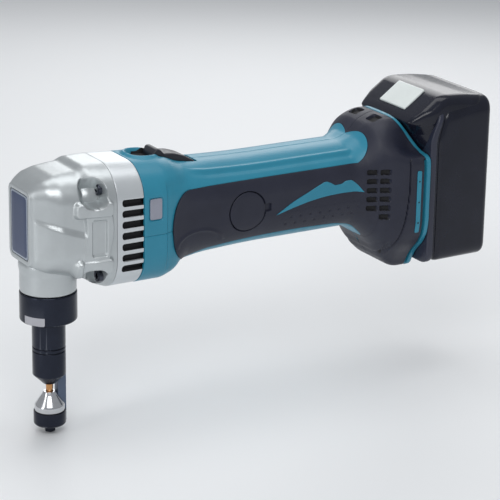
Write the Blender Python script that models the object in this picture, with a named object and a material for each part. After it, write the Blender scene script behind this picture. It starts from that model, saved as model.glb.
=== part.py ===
"""Cordless nibbler: a slide-battery power tool whose crank drives a round punch up and down in a die.

Frame: +Z up along the punch, +X from the punch back to the battery, Y = 0 is the plane of symmetry.
The origin is on the punch axis, at the flat end of the screw under the die.
"""

import math

import bmesh
import bpy
from mathutils import Matrix, Vector

MM = 0.001
GAP = 0.3 * MM  # between two pieces that touch
WALL = 2.8 * MM  # moulded housing
SKIN = 1.8 * MM  # soft grip cover
X_AXIS, Y_AXIS, Z_AXIS = Vector((1, 0, 0)), Vector((0, 1, 0)), Vector((0, 0, 1))

# Cutting head, upwards from the screw under the die
SCREW_HEAD_HEIGHT = 4.7 * MM
SCREW_HEAD_RADIUS = 3.6 * MM
SCREW_SHANK_RADIUS = 2.1 * MM
CUP_HEIGHT = 9.0 * MM
CUP_FLOOR = 1.6 * MM
DIE_CONE_HEIGHT = 12.4 * MM
DIE_TIP_RADIUS = 4.0 * MM
DIE_SHANK_RADIUS = 6.2 * MM
CUT_GAP = 5.2 * MM
NOSE_CONE_HEIGHT = 6.5 * MM
PUNCH_TIP_RADIUS = 2.2 * MM
PUNCH_RADIUS = 4.4 * MM
PUNCH_IN_DIE = 2.0 * MM
STRUT_HALF = 2.4 * MM
STRUT_DEPTH = 5.8 * MM
TUBE_RADIUS = 10.4 * MM
TUBE_LENGTH = 44.4 * MM  # from the nose cone to the holder's flange
FLANGE_THICKNESS = 4.0 * MM
NUT_RADIUS = 17.8 * MM
NUT_SHOULDER = 8.5 * MM
NUT_FLAT_DEPTH = 1.5 * MM
NUT_FLAT_HEIGHT = 6.5 * MM
NUT_FLAT_ANGLE = math.radians(214)
SPIGOT_LENGTH = 6.5 * MM
SPIGOT_WALL = 2.8 * MM
NECK_RADIUS = 17.5 * MM

# Crank drive
MODULE = 0.75 * MM
PINION_TEETH = 8
GEAR_TEETH = 40
TOOTH_SHARE = 0.36  # of the pitch, at the pitch circle
TIP_SHARE = 0.19
ADDENDUM = 0.8  # modules
DEDENDUM = 1.15
GEAR_WIDTH = 9.0 * MM
THROW = 2.5 * MM
ECCENTRIC_RADIUS = 5.6 * MM
ROD_HALF = 3.5 * MM
ROD_RING = 3.4 * MM
WRIST_PIN_RADIUS = 2.5 * MM
RAM_RADIUS = 8.0 * MM
JOURNAL_RADIUS = 4.0 * MM
SHAFT_RADIUS = 5.0 * MM
BEARING_RING = 4.5 * MM
BEARING_WIDTH = 6.0 * MM

# Body, from the nose to the battery
HEAD_Z = 132.0 * MM  # the motor's axis too
HEAD_HALF_WIDTH = 31.0 * MM
HEAD_HALF_HEIGHT = 38.2 * MM
HEAD_CORNER = 22.0 * MM
NOSE_X = -18.7 * MM
NOSE_HALF_WIDTH = 14.5 * MM
JOINT_X = 31.5 * MM
RING_LENGTH = 18.5 * MM
FRONT_LENGTH = 16.0 * MM
SHOULDER_LENGTH = 38.0 * MM
GRIP_LENGTH = 100.0 * MM
FLARE_LENGTH = 52.0 * MM
GRIP_HALF_WIDTH = 26.8 * MM
GRIP_TOP = 30.5 * MM  # above the motor's axis
GRIP_BOTTOM = 26.0 * MM
FLARE_HALF_WIDTH = 38.2 * MM
FLARE_TOP = 46.0 * MM
FLARE_BOTTOM = 58.0 * MM
FLANGE_PLATE = 5.0 * MM
VENT_COUNT = 7
VENT_PITCH = 7.0 * MM
VENT_HALF = 2.0 * MM
LENS_SIZE = (8.4 * MM, 13.2 * MM)
BRUSH_COVER_RADIUS = 12.6 * MM
CASE_SCREW_DEPTH = 7.0 * MM

# Motor
YOKE_RADIUS = 21.0 * MM
YOKE_LENGTH = 44.0 * MM
CORE_RADIUS = 15.0 * MM
MOTOR_SHAFT_RADIUS = 3.4 * MM
FAN_RADIUS = 24.0 * MM
COMMUTATOR_RADIUS = 9.0 * MM
COMMUTATOR_LENGTH = 14.0 * MM

# Slide switch
LEVER_LENGTH = 30.0 * MM
LEVER_HALF = 7.2 * MM
LEVER_TRAVEL = 7.0 * MM

# Battery
BATTERY_HALF_WIDTH = 37.5 * MM
BATTERY_DEPTH = 48.5 * MM
BATTERY_HEIGHT = 110.0 * MM
BATTERY_BOTTOM = 79.0 * MM
BATTERY_COVER = 5.0 * MM
BATTERY_WALL = 2.0 * MM
BATTERY_CORNER = 6.5 * MM
CELL_RADIUS = 9.1 * MM
CELL_LENGTH = 65.0 * MM
CELL_ROWS = 5
RAIL_DEPTH = 17.0 * MM
RAIL_HALF = 24.0 * MM
RAIL_NECK_HALF = 20.0 * MM
RAIL_LIP = 5.0 * MM
HUMP_HALF = 31.0 * MM
HUMP_REACH = 15.0 * MM
BUTTON_HALF = 15.0 * MM
BUTTON_TRAVEL = 4.0 * MM

# Heights that follow from the stack of the cutting head
CUP_BOTTOM = SCREW_HEAD_HEIGHT + GAP
CUP_TOP = CUP_BOTTOM + CUP_HEIGHT
DIE_BASE = CUP_TOP + GAP
DIE_TOP = DIE_BASE + DIE_CONE_HEIGHT
HOLDER_TIP = DIE_TOP + CUT_GAP
TUBE_BOTTOM = HOLDER_TIP + NOSE_CONE_HEIGHT
FLANGE_BOTTOM = TUBE_BOTTOM + TUBE_LENGTH
FLANGE_TOP = FLANGE_BOTTOM + FLANGE_THICKNESS
SPIGOT_BOTTOM = FLANGE_TOP + GAP
NECK_BOTTOM = SPIGOT_BOTTOM + SPIGOT_LENGTH
NUT_BOTTOM = FLANGE_BOTTOM - NUT_SHOULDER - GAP
HOLDER_TOP = NECK_BOTTOM + 1.5 * MM
SPIGOT_RADIUS = NUT_RADIUS - 2.4 * MM
SPIGOT_BORE = SPIGOT_RADIUS - SPIGOT_WALL

# Crank and gears
CENTRE_DISTANCE = MODULE * (PINION_TEETH + GEAR_TEETH) / 2
MOTOR_Z = HEAD_Z
CRANK_Z = MOTOR_Z + CENTRE_DISTANCE
GEAR_OUTER = MODULE * (GEAR_TEETH / 2 + ADDENDUM)
STROKE = 2 * THROW
RAM_BOTTOM = HOLDER_TOP + 0.5 * MM
EYE_HALF_Z = STROKE + WRIST_PIN_RADIUS + GAP
EYE_HALF_Y = THROW + WRIST_PIN_RADIUS + GAP
EYE_WALL = 2.4 * MM
SLOT_FLOOR = RAM_BOTTOM + 9.5 * MM
PIN_Z = SLOT_FLOOR + STROKE + EYE_HALF_Z + EYE_WALL + 0.4 * MM
RAM_TOP = PIN_Z + WRIST_PIN_RADIUS + 4.0 * MM
NECK_BORE = max(RAM_RADIUS + GAP, EYE_HALF_Y + EYE_WALL + THROW + GAP)

# Places along the body
RING_END = JOINT_X + RING_LENGTH
FRONT_END = RING_END + FRONT_LENGTH
GRIP_FRONT = FRONT_END + SHOULDER_LENGTH
GRIP_REAR = GRIP_FRONT + GRIP_LENGTH
FLANGE_X = GRIP_REAR + FLARE_LENGTH
BRACKET_X = JOINT_X + GAP
BRACKET_DEPTH = BEARING_WIDTH + 1.6 * MM
GEAR_REAR = JOINT_X - 2.4 * MM
GEAR_FRONT = GEAR_REAR - GEAR_WIDTH
FAN_X = BRACKET_X + BRACKET_DEPTH + 1.2 * MM
YOKE_X = RING_END + 13.0 * MM
YOKE_END = YOKE_X + YOKE_LENGTH
COMMUTATOR_X = YOKE_END + 11.5 * MM
BRUSH_X = COMMUTATOR_X + COMMUTATOR_LENGTH / 2
MOTOR_REAR = COMMUTATOR_X + COMMUTATOR_LENGTH + 4.0 * MM

# Rear of the tool and the battery
BATTERY_X = FLANGE_X + GAP
BATTERY_REAR = BATTERY_X + BATTERY_DEPTH
BATTERY_TOP = BATTERY_BOTTOM + BATTERY_HEIGHT
SLOPE_FOOT = (FLANGE_X, HEAD_Z + 22.0 * MM)
SLOPE_HEAD = (FLANGE_X - HUMP_REACH, HEAD_Z + 44.0 * MM)
RAIL_X = FLANGE_X - RAIL_DEPTH
RAIL_BOTTOM = BATTERY_BOTTOM + 12.0 * MM
RAIL_TOP = HEAD_Z + 30.0 * MM
LEVER_FRONT = FRONT_END + 2.5 * MM
LEVER_TOP = HEAD_Z + HEAD_HALF_HEIGHT
LENS_X = RING_END + 4.2 * MM
LENS_Z = HEAD_Z + 6.0 * MM
HUMP_TOP = BATTERY_TOP + 2.3 * MM
HUMP_BACK = FLANGE_X + 20.5 * MM
HUMP_FLOOR = BATTERY_TOP - 9.3 * MM
BUTTON_THICKNESS = 4.0 * MM
BUTTON_TOP_X, BUTTON_TOP_Z = FLANGE_X + 11.5 * MM, HUMP_TOP - 0.4 * MM
BUTTON_FOOT_X, BUTTON_FOOT_Z = FLANGE_X - 5.5 * MM, HUMP_TOP - 12.8 * MM
CASE_X = BATTERY_X + BATTERY_COVER


def material(name, colour, roughness, metallic=0.0):
    """A Principled material, with its colour as linear RGB."""
    made = bpy.data.materials.new(name)
    made.use_nodes = True
    shader = made.node_tree.nodes["Principled BSDF"]
    shader.inputs["Base Color"].default_value = (*colour, 1.0)
    shader.inputs["Roughness"].default_value = roughness
    shader.inputs["Metallic"].default_value = metallic
    made.diffuse_color = (*colour, 1.0)
    return made


def put(name, mesh, finish=None):
    """Links a mesh as a named object, shaded smooth up to 35 degrees."""
    obj = bpy.data.objects.new(name, mesh)
    bpy.context.scene.collection.objects.link(obj)
    mesh.shade_smooth()
    mesh.set_sharp_from_angle(angle=math.radians(35))
    if finish is None:
        obj.hide_render = True
        obj.display_type = "WIRE"
    else:
        mesh.materials.append(finish)
    return obj


def from_bmesh(name, work, finish=None):
    bmesh.ops.recalc_face_normals(work, faces=work.faces)
    mesh = bpy.data.meshes.new(name)
    work.to_mesh(mesh)
    work.free()
    return put(name, mesh, finish)


def box(name, low, high, finish=None, bevel=0.0):
    work = bmesh.new()
    bmesh.ops.create_cube(work, size=1.0)
    size = Vector(high) - Vector(low)
    centre = (Vector(high) + Vector(low)) / 2
    bmesh.ops.scale(work, vec=size, verts=work.verts)
    bmesh.ops.translate(work, vec=centre, verts=work.verts)
    obj = from_bmesh(name, work, finish)
    if bevel:
        edge = obj.modifiers.new("Bevel", "BEVEL")
        edge.width = bevel
        edge.segments = 2
    return obj


def rod(name, start, end, radius, finish=None, sides=16):
    """A round bar between two points."""
    start, end = Vector(start), Vector(end)
    work = bmesh.new()
    turn = Z_AXIS.rotation_difference(end - start).to_matrix().to_4x4()
    bmesh.ops.create_cone(
        work,
        cap_ends=True,
        segments=sides,
        radius1=radius,
        radius2=radius,
        depth=(end - start).length,
        matrix=Matrix.Translation((start + end) / 2) @ turn,
    )
    return from_bmesh(name, work, finish)


def ball(name, centre, radius, finish=None):
    work = bmesh.new()
    bmesh.ops.create_uvsphere(work, u_segments=12, v_segments=8, radius=radius,
                              matrix=Matrix.Translation(centre))
    return from_bmesh(name, work, finish)


def prism(name, outline, normal, low, high, finish=None):
    """An outline extruded from low to high along the axis normal.

    The outline's points are (Y, Z) for X, (X, Z) for Y and (X, Y) for Z.
    """
    place = {
        "X": lambda a, b: (low, a, b),
        "Y": lambda a, b: (a, low, b),
        "Z": lambda a, b: (a, b, low),
    }[normal]
    along = {"X": X_AXIS, "Y": Y_AXIS, "Z": Z_AXIS}[normal] * (high - low)
    work = bmesh.new()
    face = work.faces.new([work.verts.new(place(*point)) for point in outline])
    grown = bmesh.ops.extrude_face_region(work, geom=[face])
    moved = [item for item in grown["geom"] if isinstance(item, bmesh.types.BMVert)]
    bmesh.ops.translate(work, vec=along, verts=moved)
    return from_bmesh(name, work, finish)


def turned(name, profile, centre, along, finish=None, steps=20, ring=False):
    """Turns a profile of (radius, height) about the Z or X axis through centre.

    The profile runs down the outer side. A ring's profile closes on itself.
    Along X, a height is a distance from the origin along X.
    """
    mesh = bpy.data.meshes.new(name)
    count = len(profile)
    edges = [(i, i + 1) for i in range(count - 1)]
    if ring:
        edges.append((count - 1, 0))
    mesh.from_pydata([(radius, 0, height) for radius, height in profile], edges, [])
    obj = put(name, mesh, finish)
    obj.location = centre
    if along == "X":
        obj.rotation_euler = (0, math.pi / 2, 0)
    screw = obj.modifiers.new("Screw", "SCREW")
    screw.axis = "Z"
    screw.steps = screw.render_steps = steps
    screw.use_merge_vertices = True
    screw.merge_threshold = 0.00002
    screw.use_smooth_shade = True
    return obj


def tube_profile(inner, outer, low, high):
    return [(outer, high), (outer, low), (inner, low), (inner, high)]


def combine(obj, other, operation):
    """Adds, cuts or keeps what obj shares with another solid, which is then only a guide."""
    step = obj.modifiers.new(other.name, "BOOLEAN")
    step.operation = operation
    step.object = other
    other.hide_render = True
    other.display_type = "WIRE"
    return obj


def cut(obj, *others):
    for other in others:
        combine(obj, other, "DIFFERENCE")
    return obj


def join(obj, *others):
    for other in others:
        combine(obj, other, "UNION")
    return obj


def keep(obj, other):
    return combine(obj, other, "INTERSECT")


def rounded_outline(half_width, top, bottom, corner, inset=0.0, points=6):
    """A rounded rectangle in (Y, Z), with the same number of points at every size."""
    half, high, low = half_width - inset, top - inset, bottom + inset
    radius = min(max(corner - inset, 0.5 * MM), half, (high - low) / 2)
    outline = []
    for corner_index in range(4):
        sign_y = (1, -1, -1, 1)[corner_index]
        sign_z = (1, 1, -1, -1)[corner_index]
        centre_y = sign_y * (half - radius)
        centre_z = (high - radius) if sign_z > 0 else (low + radius)
        for k in range(points):
            angle = math.pi / 2 * (corner_index + k / (points - 1))
            outline.append((centre_y + radius * math.cos(angle), centre_z + radius * math.sin(angle)))
    return outline


def loft(name, stations, inset=0.0, finish=None):
    """Skins rounded rectangles placed along X: (x, half width, top, bottom, corner)."""
    work = bmesh.new()
    rings = []
    for x, half_width, top, bottom, corner in stations:
        outline = rounded_outline(half_width, top, bottom, corner, inset)
        rings.append([work.verts.new((x, y, z)) for y, z in outline])
    for before, after in zip(rings, rings[1:]):
        for i in range(len(before)):
            j = (i + 1) % len(before)
            work.faces.new((before[i], before[j], after[j], after[i]))
    work.faces.new(rings[0])
    work.faces.new(rings[-1])
    return from_bmesh(name, work, finish)


def head_stations():
    """Gear housing, nose to joint. The nose face is small and the joint is the body's full section."""
    top, bottom = HEAD_Z + HEAD_HALF_HEIGHT, HEAD_Z - HEAD_HALF_HEIGHT
    nose_top, nose_bottom = HEAD_Z + 29 * MM, HEAD_Z - 17.5 * MM
    return [
        (NOSE_X, NOSE_HALF_WIDTH, nose_top, nose_bottom, 4.5 * MM),
        (NOSE_X + 1.6 * MM, NOSE_HALF_WIDTH + 1.6 * MM, nose_top + 1.2 * MM, nose_bottom - 1.2 * MM, 6 * MM),
        (NOSE_X + 9 * MM, HEAD_HALF_WIDTH - 8.5 * MM, top - 4 * MM, nose_bottom - 3.5 * MM, 11 * MM),
        (NOSE_X + 16 * MM, HEAD_HALF_WIDTH - 5 * MM, top - 2 * MM, nose_bottom - 5.5 * MM, 16 * MM),
        (NOSE_X + 31 * MM, HEAD_HALF_WIDTH - 3 * MM, top - 1 * MM, nose_bottom - 11 * MM, 19 * MM),
        (NOSE_X + 36 * MM, HEAD_HALF_WIDTH - 1 * MM, top, nose_bottom - 14 * MM, 21 * MM),
        (JOINT_X, HEAD_HALF_WIDTH, top, bottom, HEAD_CORNER),
    ]


def ring_stations(start, end):
    section = (HEAD_HALF_WIDTH, HEAD_Z + HEAD_HALF_HEIGHT, HEAD_Z - HEAD_HALF_HEIGHT, HEAD_CORNER)
    return [(start, *section), (end, *section)]


def body_stations():
    """Moulded housing: motor section, shoulder, grip and the flare to the battery."""
    top, bottom = HEAD_Z + HEAD_HALF_HEIGHT, HEAD_Z - HEAD_HALF_HEIGHT
    grip_top, grip_bottom = HEAD_Z + GRIP_TOP, HEAD_Z - GRIP_BOTTOM
    flare_top, flare_bottom = HEAD_Z + FLARE_TOP, HEAD_Z - FLARE_BOTTOM
    flare_rise, flare_drop = flare_top - grip_top, grip_bottom - flare_bottom
    widen = FLARE_HALF_WIDTH - GRIP_HALF_WIDTH
    stations = [
        (RING_END + GAP, HEAD_HALF_WIDTH, top, bottom, HEAD_CORNER),
        (FRONT_END, HEAD_HALF_WIDTH, top, bottom, HEAD_CORNER),
        (FRONT_END + 10 * MM, HEAD_HALF_WIDTH - 0.8 * MM, top - 1.5 * MM, bottom + 1.2 * MM, HEAD_CORNER),
        (FRONT_END + 20 * MM, GRIP_HALF_WIDTH + 1.8 * MM, grip_top + 2.8 * MM, grip_bottom - 3.0 * MM,
         22 * MM),
        (GRIP_FRONT, GRIP_HALF_WIDTH, grip_top + 1.0 * MM, grip_bottom - 1.0 * MM, 22 * MM),
        (GRIP_FRONT + 0.4 * GRIP_LENGTH, GRIP_HALF_WIDTH, grip_top, grip_bottom, 22 * MM),
        (GRIP_REAR, GRIP_HALF_WIDTH, grip_top, grip_bottom, 22 * MM),
    ]
    for share, wide, rise, drop in (
        (0.17, 0.15, 0.25, 0.10),
        (0.36, 0.48, 0.75, 0.32),
        (0.60, 0.82, 0.97, 0.62),
        (0.82, 0.98, 1.00, 0.87),
        (1.00, 1.00, 1.00, 1.00),
    ):
        stations.append((
            GRIP_REAR + share * FLARE_LENGTH,
            GRIP_HALF_WIDTH + wide * widen,
            grip_top + rise * flare_rise,
            grip_bottom - drop * flare_drop,
            22 * MM,
        ))
    return stations


def gear_outline(teeth, centre_y, centre_z, turn):
    """Straight-flanked teeth, four points each, in (Y, Z)."""
    pitch = 2 * math.pi / teeth
    pitch_radius = MODULE * teeth / 2
    tip_radius = pitch_radius + ADDENDUM * MODULE
    root_radius = pitch_radius - DEDENDUM * MODULE
    root_share = TOOTH_SHARE + (TOOTH_SHARE - TIP_SHARE) * DEDENDUM / ADDENDUM
    outline = []
    for tooth in range(teeth):
        middle = turn + tooth * pitch
        for share, radius in (
            (-root_share / 2, root_radius),
            (-TIP_SHARE / 2, tip_radius),
            (TIP_SHARE / 2, tip_radius),
            (root_share / 2, root_radius),
        ):
            angle = middle + share * pitch
            outline.append((centre_y + radius * math.cos(angle), centre_z + radius * math.sin(angle)))
    return outline


def on_axis(name, place, *objects):
    """Parents the pieces of one moving body to an empty on its joint's axis."""
    empty = bpy.data.objects.new(name, None)
    empty.empty_display_size = 0.01
    empty.location = place
    bpy.context.scene.collection.objects.link(empty)
    for obj in objects:
        obj.parent = empty
        obj.matrix_parent_inverse = Matrix.Translation(-Vector(place))
    return empty


def side_name(side):
    return "left" if side < 0 else "right"


def half_space(name, side):
    """A block that holds everything on the far side of the split plane."""
    low, high = (-0.5 * GAP, 0.2) if side < 0 else (-0.2, 0.5 * GAP)
    return box(name, (-0.2, low, -0.2), (0.6, high, 0.5))


def make_gear_housing():
    silver = material("cast_aluminium", (0.53, 0.55, 0.56), 0.36, 0.75)
    housing = loft("gear_housing", head_stations(), finish=silver)
    join(housing, rod("neck", (0, 0, NECK_BOTTOM), (0, 0, HEAD_Z - 5 * MM), NECK_RADIUS, sides=28))
    join(housing, rod("spigot", (0, 0, SPIGOT_BOTTOM), (0, 0, NECK_BOTTOM + 2 * MM), SPIGOT_RADIUS, sides=28))
    chamber = rod("gear_chamber", (GEAR_FRONT - 4 * MM, 0, CRANK_Z), (JOINT_X + 1 * MM, 0, CRANK_Z),
                  GEAR_OUTER + 1.2 * MM, sides=28)
    pinion_room = rod("pinion_room", (GEAR_FRONT - 3 * MM, 0, MOTOR_Z), (JOINT_X + 1 * MM, 0, MOTOR_Z),
                      MODULE * PINION_TEETH / 2 + 6 * MM, sides=16)
    swing = ECCENTRIC_RADIUS + ROD_RING + THROW + 1.0 * MM
    rod_room = box("rod_room", (-ROD_HALF - 1.2 * MM, -swing, PIN_Z), (GEAR_FRONT - 3 * MM, swing,
                                                                       CRANK_Z + swing))
    bore = rod("neck_bore", (0, 0, HOLDER_TOP - 1 * MM), (0, 0, CRANK_Z - 6 * MM), NECK_BORE + GAP, sides=24)
    seat = rod("holder_seat", (0, 0, SPIGOT_BOTTOM - 1 * MM), (0, 0, HOLDER_TOP + GAP), SPIGOT_BORE, sides=28)
    bearing_bore = rod("front_bearing_bore", (NOSE_X + 4.2 * MM, 0, CRANK_Z), (0, 0, CRANK_Z),
                       JOURNAL_RADIUS + BEARING_RING + GAP, sides=24)
    cut(housing, chamber, pinion_room, rod_room, bore, seat, bearing_bore)
    plate_recess = prism("plate_recess", plate_outline(0.4 * MM), "X", NOSE_X - 1 * MM, NOSE_X + 1.0 * MM)
    cut(housing, plate_recess)
    for number, (y, z) in enumerate(screw_places(), start=1):
        side = math.copysign(1, y)
        up = math.copysign(1, z - HEAD_Z)
        scoop = ball(f"screw_scoop_{number}", (JOINT_X - 13 * MM, y + side * 3.5 * MM, z + up * 2 * MM),
                     8.2 * MM)
        path = rod(f"screw_path_{number}", (JOINT_X - 13 * MM, y, z), (JOINT_X - 4.5 * MM, y, z), 4.4 * MM)
        bolt_hole = rod(f"screw_hole_{number}", (JOINT_X - 8 * MM, y, z), (JOINT_X + 1 * MM, y, z),
                        2.2 * MM, sides=12)
        cut(housing, scoop, path, bolt_hole)


def plate_outline(grow):
    return rounded_outline(NOSE_HALF_WIDTH - 3.2 * MM + grow, HEAD_Z + 26 * MM + grow,
                           HEAD_Z - 14.5 * MM - grow,
                           2.5 * MM, points=4)


def screw_places():
    reach = HEAD_CORNER - 6.0 * MM
    y = HEAD_HALF_WIDTH - HEAD_CORNER + reach * math.cos(math.radians(45))
    z = HEAD_HALF_HEIGHT - HEAD_CORNER + reach * math.sin(math.radians(45))
    return [(side * y, HEAD_Z + up * z) for side in (-1, 1) for up in (1, -1)]


def make_head_small_parts():
    slate = material("nameplate_slate", (0.06, 0.09, 0.16), 0.4, 0.3)
    prism("nose_plate", plate_outline(0), "X", NOSE_X - 0.3 * MM, NOSE_X + 0.7 * MM, slate)
    steel = material("black_screw_steel", (0.05, 0.05, 0.055), 0.4, 0.8)
    for number, (y, z) in enumerate(screw_places(), start=1):
        name = f"gear_housing_screw_{number}"
        head_front, seat = JOINT_X - 8.7 * MM, JOINT_X - 4.5 * MM - GAP
        profile = [(0, RING_END - 4 * MM), (1.9 * MM, RING_END - 4 * MM), (1.9 * MM, seat),
                   (3.8 * MM, seat), (3.8 * MM, head_front), (2.0 * MM, head_front),
                   (2.0 * MM, head_front + 2.4 * MM), (0, head_front + 2.4 * MM)]
        turned(name, profile, (0, y, z), "X", steel, steps=10)


def make_vent_ring():
    silver = material("satin_aluminium", (0.66, 0.68, 0.69), 0.3, 0.8)
    ring = loft("vent_ring", ring_stations(JOINT_X + GAP, RING_END), finish=silver)
    cut(ring, loft("vent_ring_inside", ring_stations(JOINT_X - 2 * MM, RING_END + 2 * MM), inset=3.0 * MM))
    first = -(VENT_COUNT - 1) / 2 * VENT_PITCH - 3.5 * MM
    for side in (-1, 1):
        for number in range(VENT_COUNT):
            z = HEAD_Z + first + number * VENT_PITCH + 2.0 * MM
            y = side * HEAD_HALF_WIDTH
            depth = HEAD_CORNER * 0.6
            cut(ring, box(f"vent_{side_name(side)}_{number}", (JOINT_X + 3.6 * MM, min(y - side * depth,
                                                                                       y + side * 2 * MM),
                                                               z - VENT_HALF),
                          (RING_END + 1 * MM, max(y - side * depth, y + side * 2 * MM), z + VENT_HALF)))
    for number, (y, z) in enumerate(screw_places(), start=1):
        boss = rod(f"ring_boss_{number}", (JOINT_X + GAP, y, z), (JOINT_X + 12 * MM, y, z), 4.2 * MM,
                   sides=14)
        join(ring, boss)
        cut(ring, rod(f"ring_bore_{number}", (JOINT_X - 1 * MM, y, z), (RING_END + 1 * MM, y, z), 2.2 * MM,
                      sides=12))


def make_bearings():
    steel = material("bearing_steel", (0.6, 0.6, 0.62), 0.25, 1.0)
    plate = material("bracket_aluminium", (0.5, 0.5, 0.52), 0.45, 0.8)
    outer = JOURNAL_RADIUS + BEARING_RING
    inner = JOURNAL_RADIUS + GAP
    start = NOSE_X + 4.2 * MM + GAP
    turned("front_needle_bearing", tube_profile(inner, outer, start, start + BEARING_WIDTH),
           (0, 0, CRANK_Z), "X",
           steel, ring=True)
    start = BRACKET_X + 1.0 * MM
    turned("rear_crank_bearing", tube_profile(inner, outer, start, start + BEARING_WIDTH), (0, 0, CRANK_Z),
           "X",
           steel, ring=True)
    motor_outer = min(MOTOR_SHAFT_RADIUS + BEARING_RING, CENTRE_DISTANCE - outer - 1.2 * MM)
    turned("front_motor_bearing", tube_profile(MOTOR_SHAFT_RADIUS + GAP, motor_outer, start,
                                               start + BEARING_WIDTH),
           (0, 0, MOTOR_Z), "X", steel, ring=True)
    start = MOTOR_REAR
    turned("rear_motor_bearing", tube_profile(MOTOR_SHAFT_RADIUS + GAP, MOTOR_SHAFT_RADIUS + BEARING_RING,
                                              start,
                                              start + BEARING_WIDTH), (0, 0, MOTOR_Z), "X", steel, ring=True)
    bracket = loft("bearing_bracket", ring_stations(BRACKET_X, BRACKET_X + BRACKET_DEPTH),
                   inset=3.0 * MM + GAP,
                   finish=plate)
    end = BRACKET_X + BRACKET_DEPTH + 1 * MM
    cut(bracket, rod("crank_bearing_seat", (BRACKET_X + 1 * MM - GAP, 0, CRANK_Z), (end, 0, CRANK_Z),
                     outer + GAP, sides=28))
    cut(bracket, rod("crank_journal_hole", (0, 0, CRANK_Z), (end, 0, CRANK_Z), JOURNAL_RADIUS + 1.2 * MM))
    cut(bracket, rod("motor_bearing_seat", (BRACKET_X + 1 * MM - GAP, 0, MOTOR_Z), (end, 0, MOTOR_Z),
                     motor_outer + GAP, sides=28))
    cut(bracket, rod("motor_shaft_hole", (0, 0, MOTOR_Z), (end, 0, MOTOR_Z), MOTOR_SHAFT_RADIUS + 1.6 * MM))
    for number, (y, z) in enumerate(screw_places(), start=1):
        cut(bracket, rod(f"bracket_clearance_{number}", (0, y, z), (end, y, z), 4.2 * MM + GAP, sides=16))


def make_punch_sleeve():
    bronze = material("sleeve_bronze", (0.5, 0.36, 0.16), 0.4, 0.9)
    return turned("ram_sleeve", tube_profile(RAM_RADIUS + GAP, NECK_BORE, HOLDER_TOP + GAP,
                                             SLOT_FLOOR - 1.5 * MM),
                  (0, 0, 0), "Z", bronze, ring=True)


def make_lock_nut():
    black = material("black_oxide", (0.025, 0.028, 0.035), 0.28, 0.7)
    inner = TUBE_RADIUS + GAP
    shoulder = FLANGE_BOTTOM - GAP
    profile = [(NUT_RADIUS - 0.6 * MM, NECK_BOTTOM - GAP), (NUT_RADIUS, NECK_BOTTOM - GAP - 0.6 * MM),
               (NUT_RADIUS, NUT_BOTTOM + 2.2 * MM), (NUT_RADIUS - 0.7 * MM, NUT_BOTTOM + 0.7 * MM),
               (NUT_RADIUS - 2.4 * MM, NUT_BOTTOM), (inner, NUT_BOTTOM), (inner, shoulder),
               (SPIGOT_RADIUS + GAP, shoulder), (SPIGOT_RADIUS + GAP, NECK_BOTTOM - GAP)]
    nut = turned("lock_nut", profile, (0, 0, 0), "Z", black, steps=28, ring=True)
    for number in (0, 1):
        angle = NUT_FLAT_ANGLE + number * math.pi
        outline = []
        for reach, across in ((-NUT_FLAT_DEPTH, -1), (4 * MM, -1), (4 * MM, 1), (-NUT_FLAT_DEPTH, 1)):
            out = NUT_RADIUS + reach
            outline.append((out * math.cos(angle) - across * 9 * MM * math.sin(angle),
                            out * math.sin(angle) + across * 9 * MM * math.cos(angle)))
        cut(nut, prism(f"spanner_flat_{number}", outline, "Z", NUT_BOTTOM - 1 * MM,
                       NUT_BOTTOM + NUT_FLAT_HEIGHT))
    return nut


def make_die_holder():
    black = material("holder_steel", (0.03, 0.034, 0.045), 0.3, 0.75)
    wide = SPIGOT_BORE - GAP
    groove = TUBE_BOTTOM + 0.388 * TUBE_LENGTH
    profile = [(wide, HOLDER_TOP), (wide, FLANGE_TOP), (SPIGOT_RADIUS - GAP, FLANGE_TOP),
               (SPIGOT_RADIUS - GAP, FLANGE_BOTTOM), (TUBE_RADIUS, FLANGE_BOTTOM),
               (TUBE_RADIUS, groove + 1.2 * MM), (TUBE_RADIUS - 0.5 * MM, groove + 0.7 * MM),
               (TUBE_RADIUS - 0.5 * MM, groove - 0.7 * MM), (TUBE_RADIUS, groove - 1.2 * MM),
               (TUBE_RADIUS, TUBE_BOTTOM), (PUNCH_TIP_RADIUS + 1.6 * MM, HOLDER_TIP),
               (PUNCH_TIP_RADIUS + GAP, HOLDER_TIP), (PUNCH_TIP_RADIUS + GAP, TUBE_BOTTOM + 2 * MM),
               (PUNCH_RADIUS + GAP, TUBE_BOTTOM + 2 * MM), (PUNCH_RADIUS + GAP, HOLDER_TOP)]
    holder = turned("die_holder", profile, (0, 0, 0), "Z", black, steps=28, ring=True)
    strut_x = TUBE_RADIUS - STRUT_DEPTH
    strut = box("strut", (strut_x, -STRUT_HALF, CUP_BOTTOM + 0.2 * MM), (TUBE_RADIUS + 2 * MM, STRUT_HALF,
                                                                         TUBE_BOTTOM + 6 * MM))
    envelope = rod("holder_envelope", (0, 0, 0), (0, 0, FLANGE_BOTTOM), TUBE_RADIUS - 0.02 * MM, sides=28)
    keep(strut, envelope)
    join(holder, strut)
    cup = rod("die_cup", (0, 0, CUP_BOTTOM), (0, 0, CUP_TOP), TUBE_RADIUS - 0.3 * MM, sides=32)
    join(holder, cup)
    cut(holder, rod("die_seat", (0, 0, CUP_BOTTOM + CUP_FLOOR), (0, 0, CUP_TOP + 0.2 * MM),
                    DIE_SHANK_RADIUS + GAP, sides=24))
    cut(holder, rod("screw_clearance", (0, 0, 0), (0, 0, CUP_TOP), SCREW_SHANK_RADIUS + GAP, sides=16))
    return holder


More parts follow.
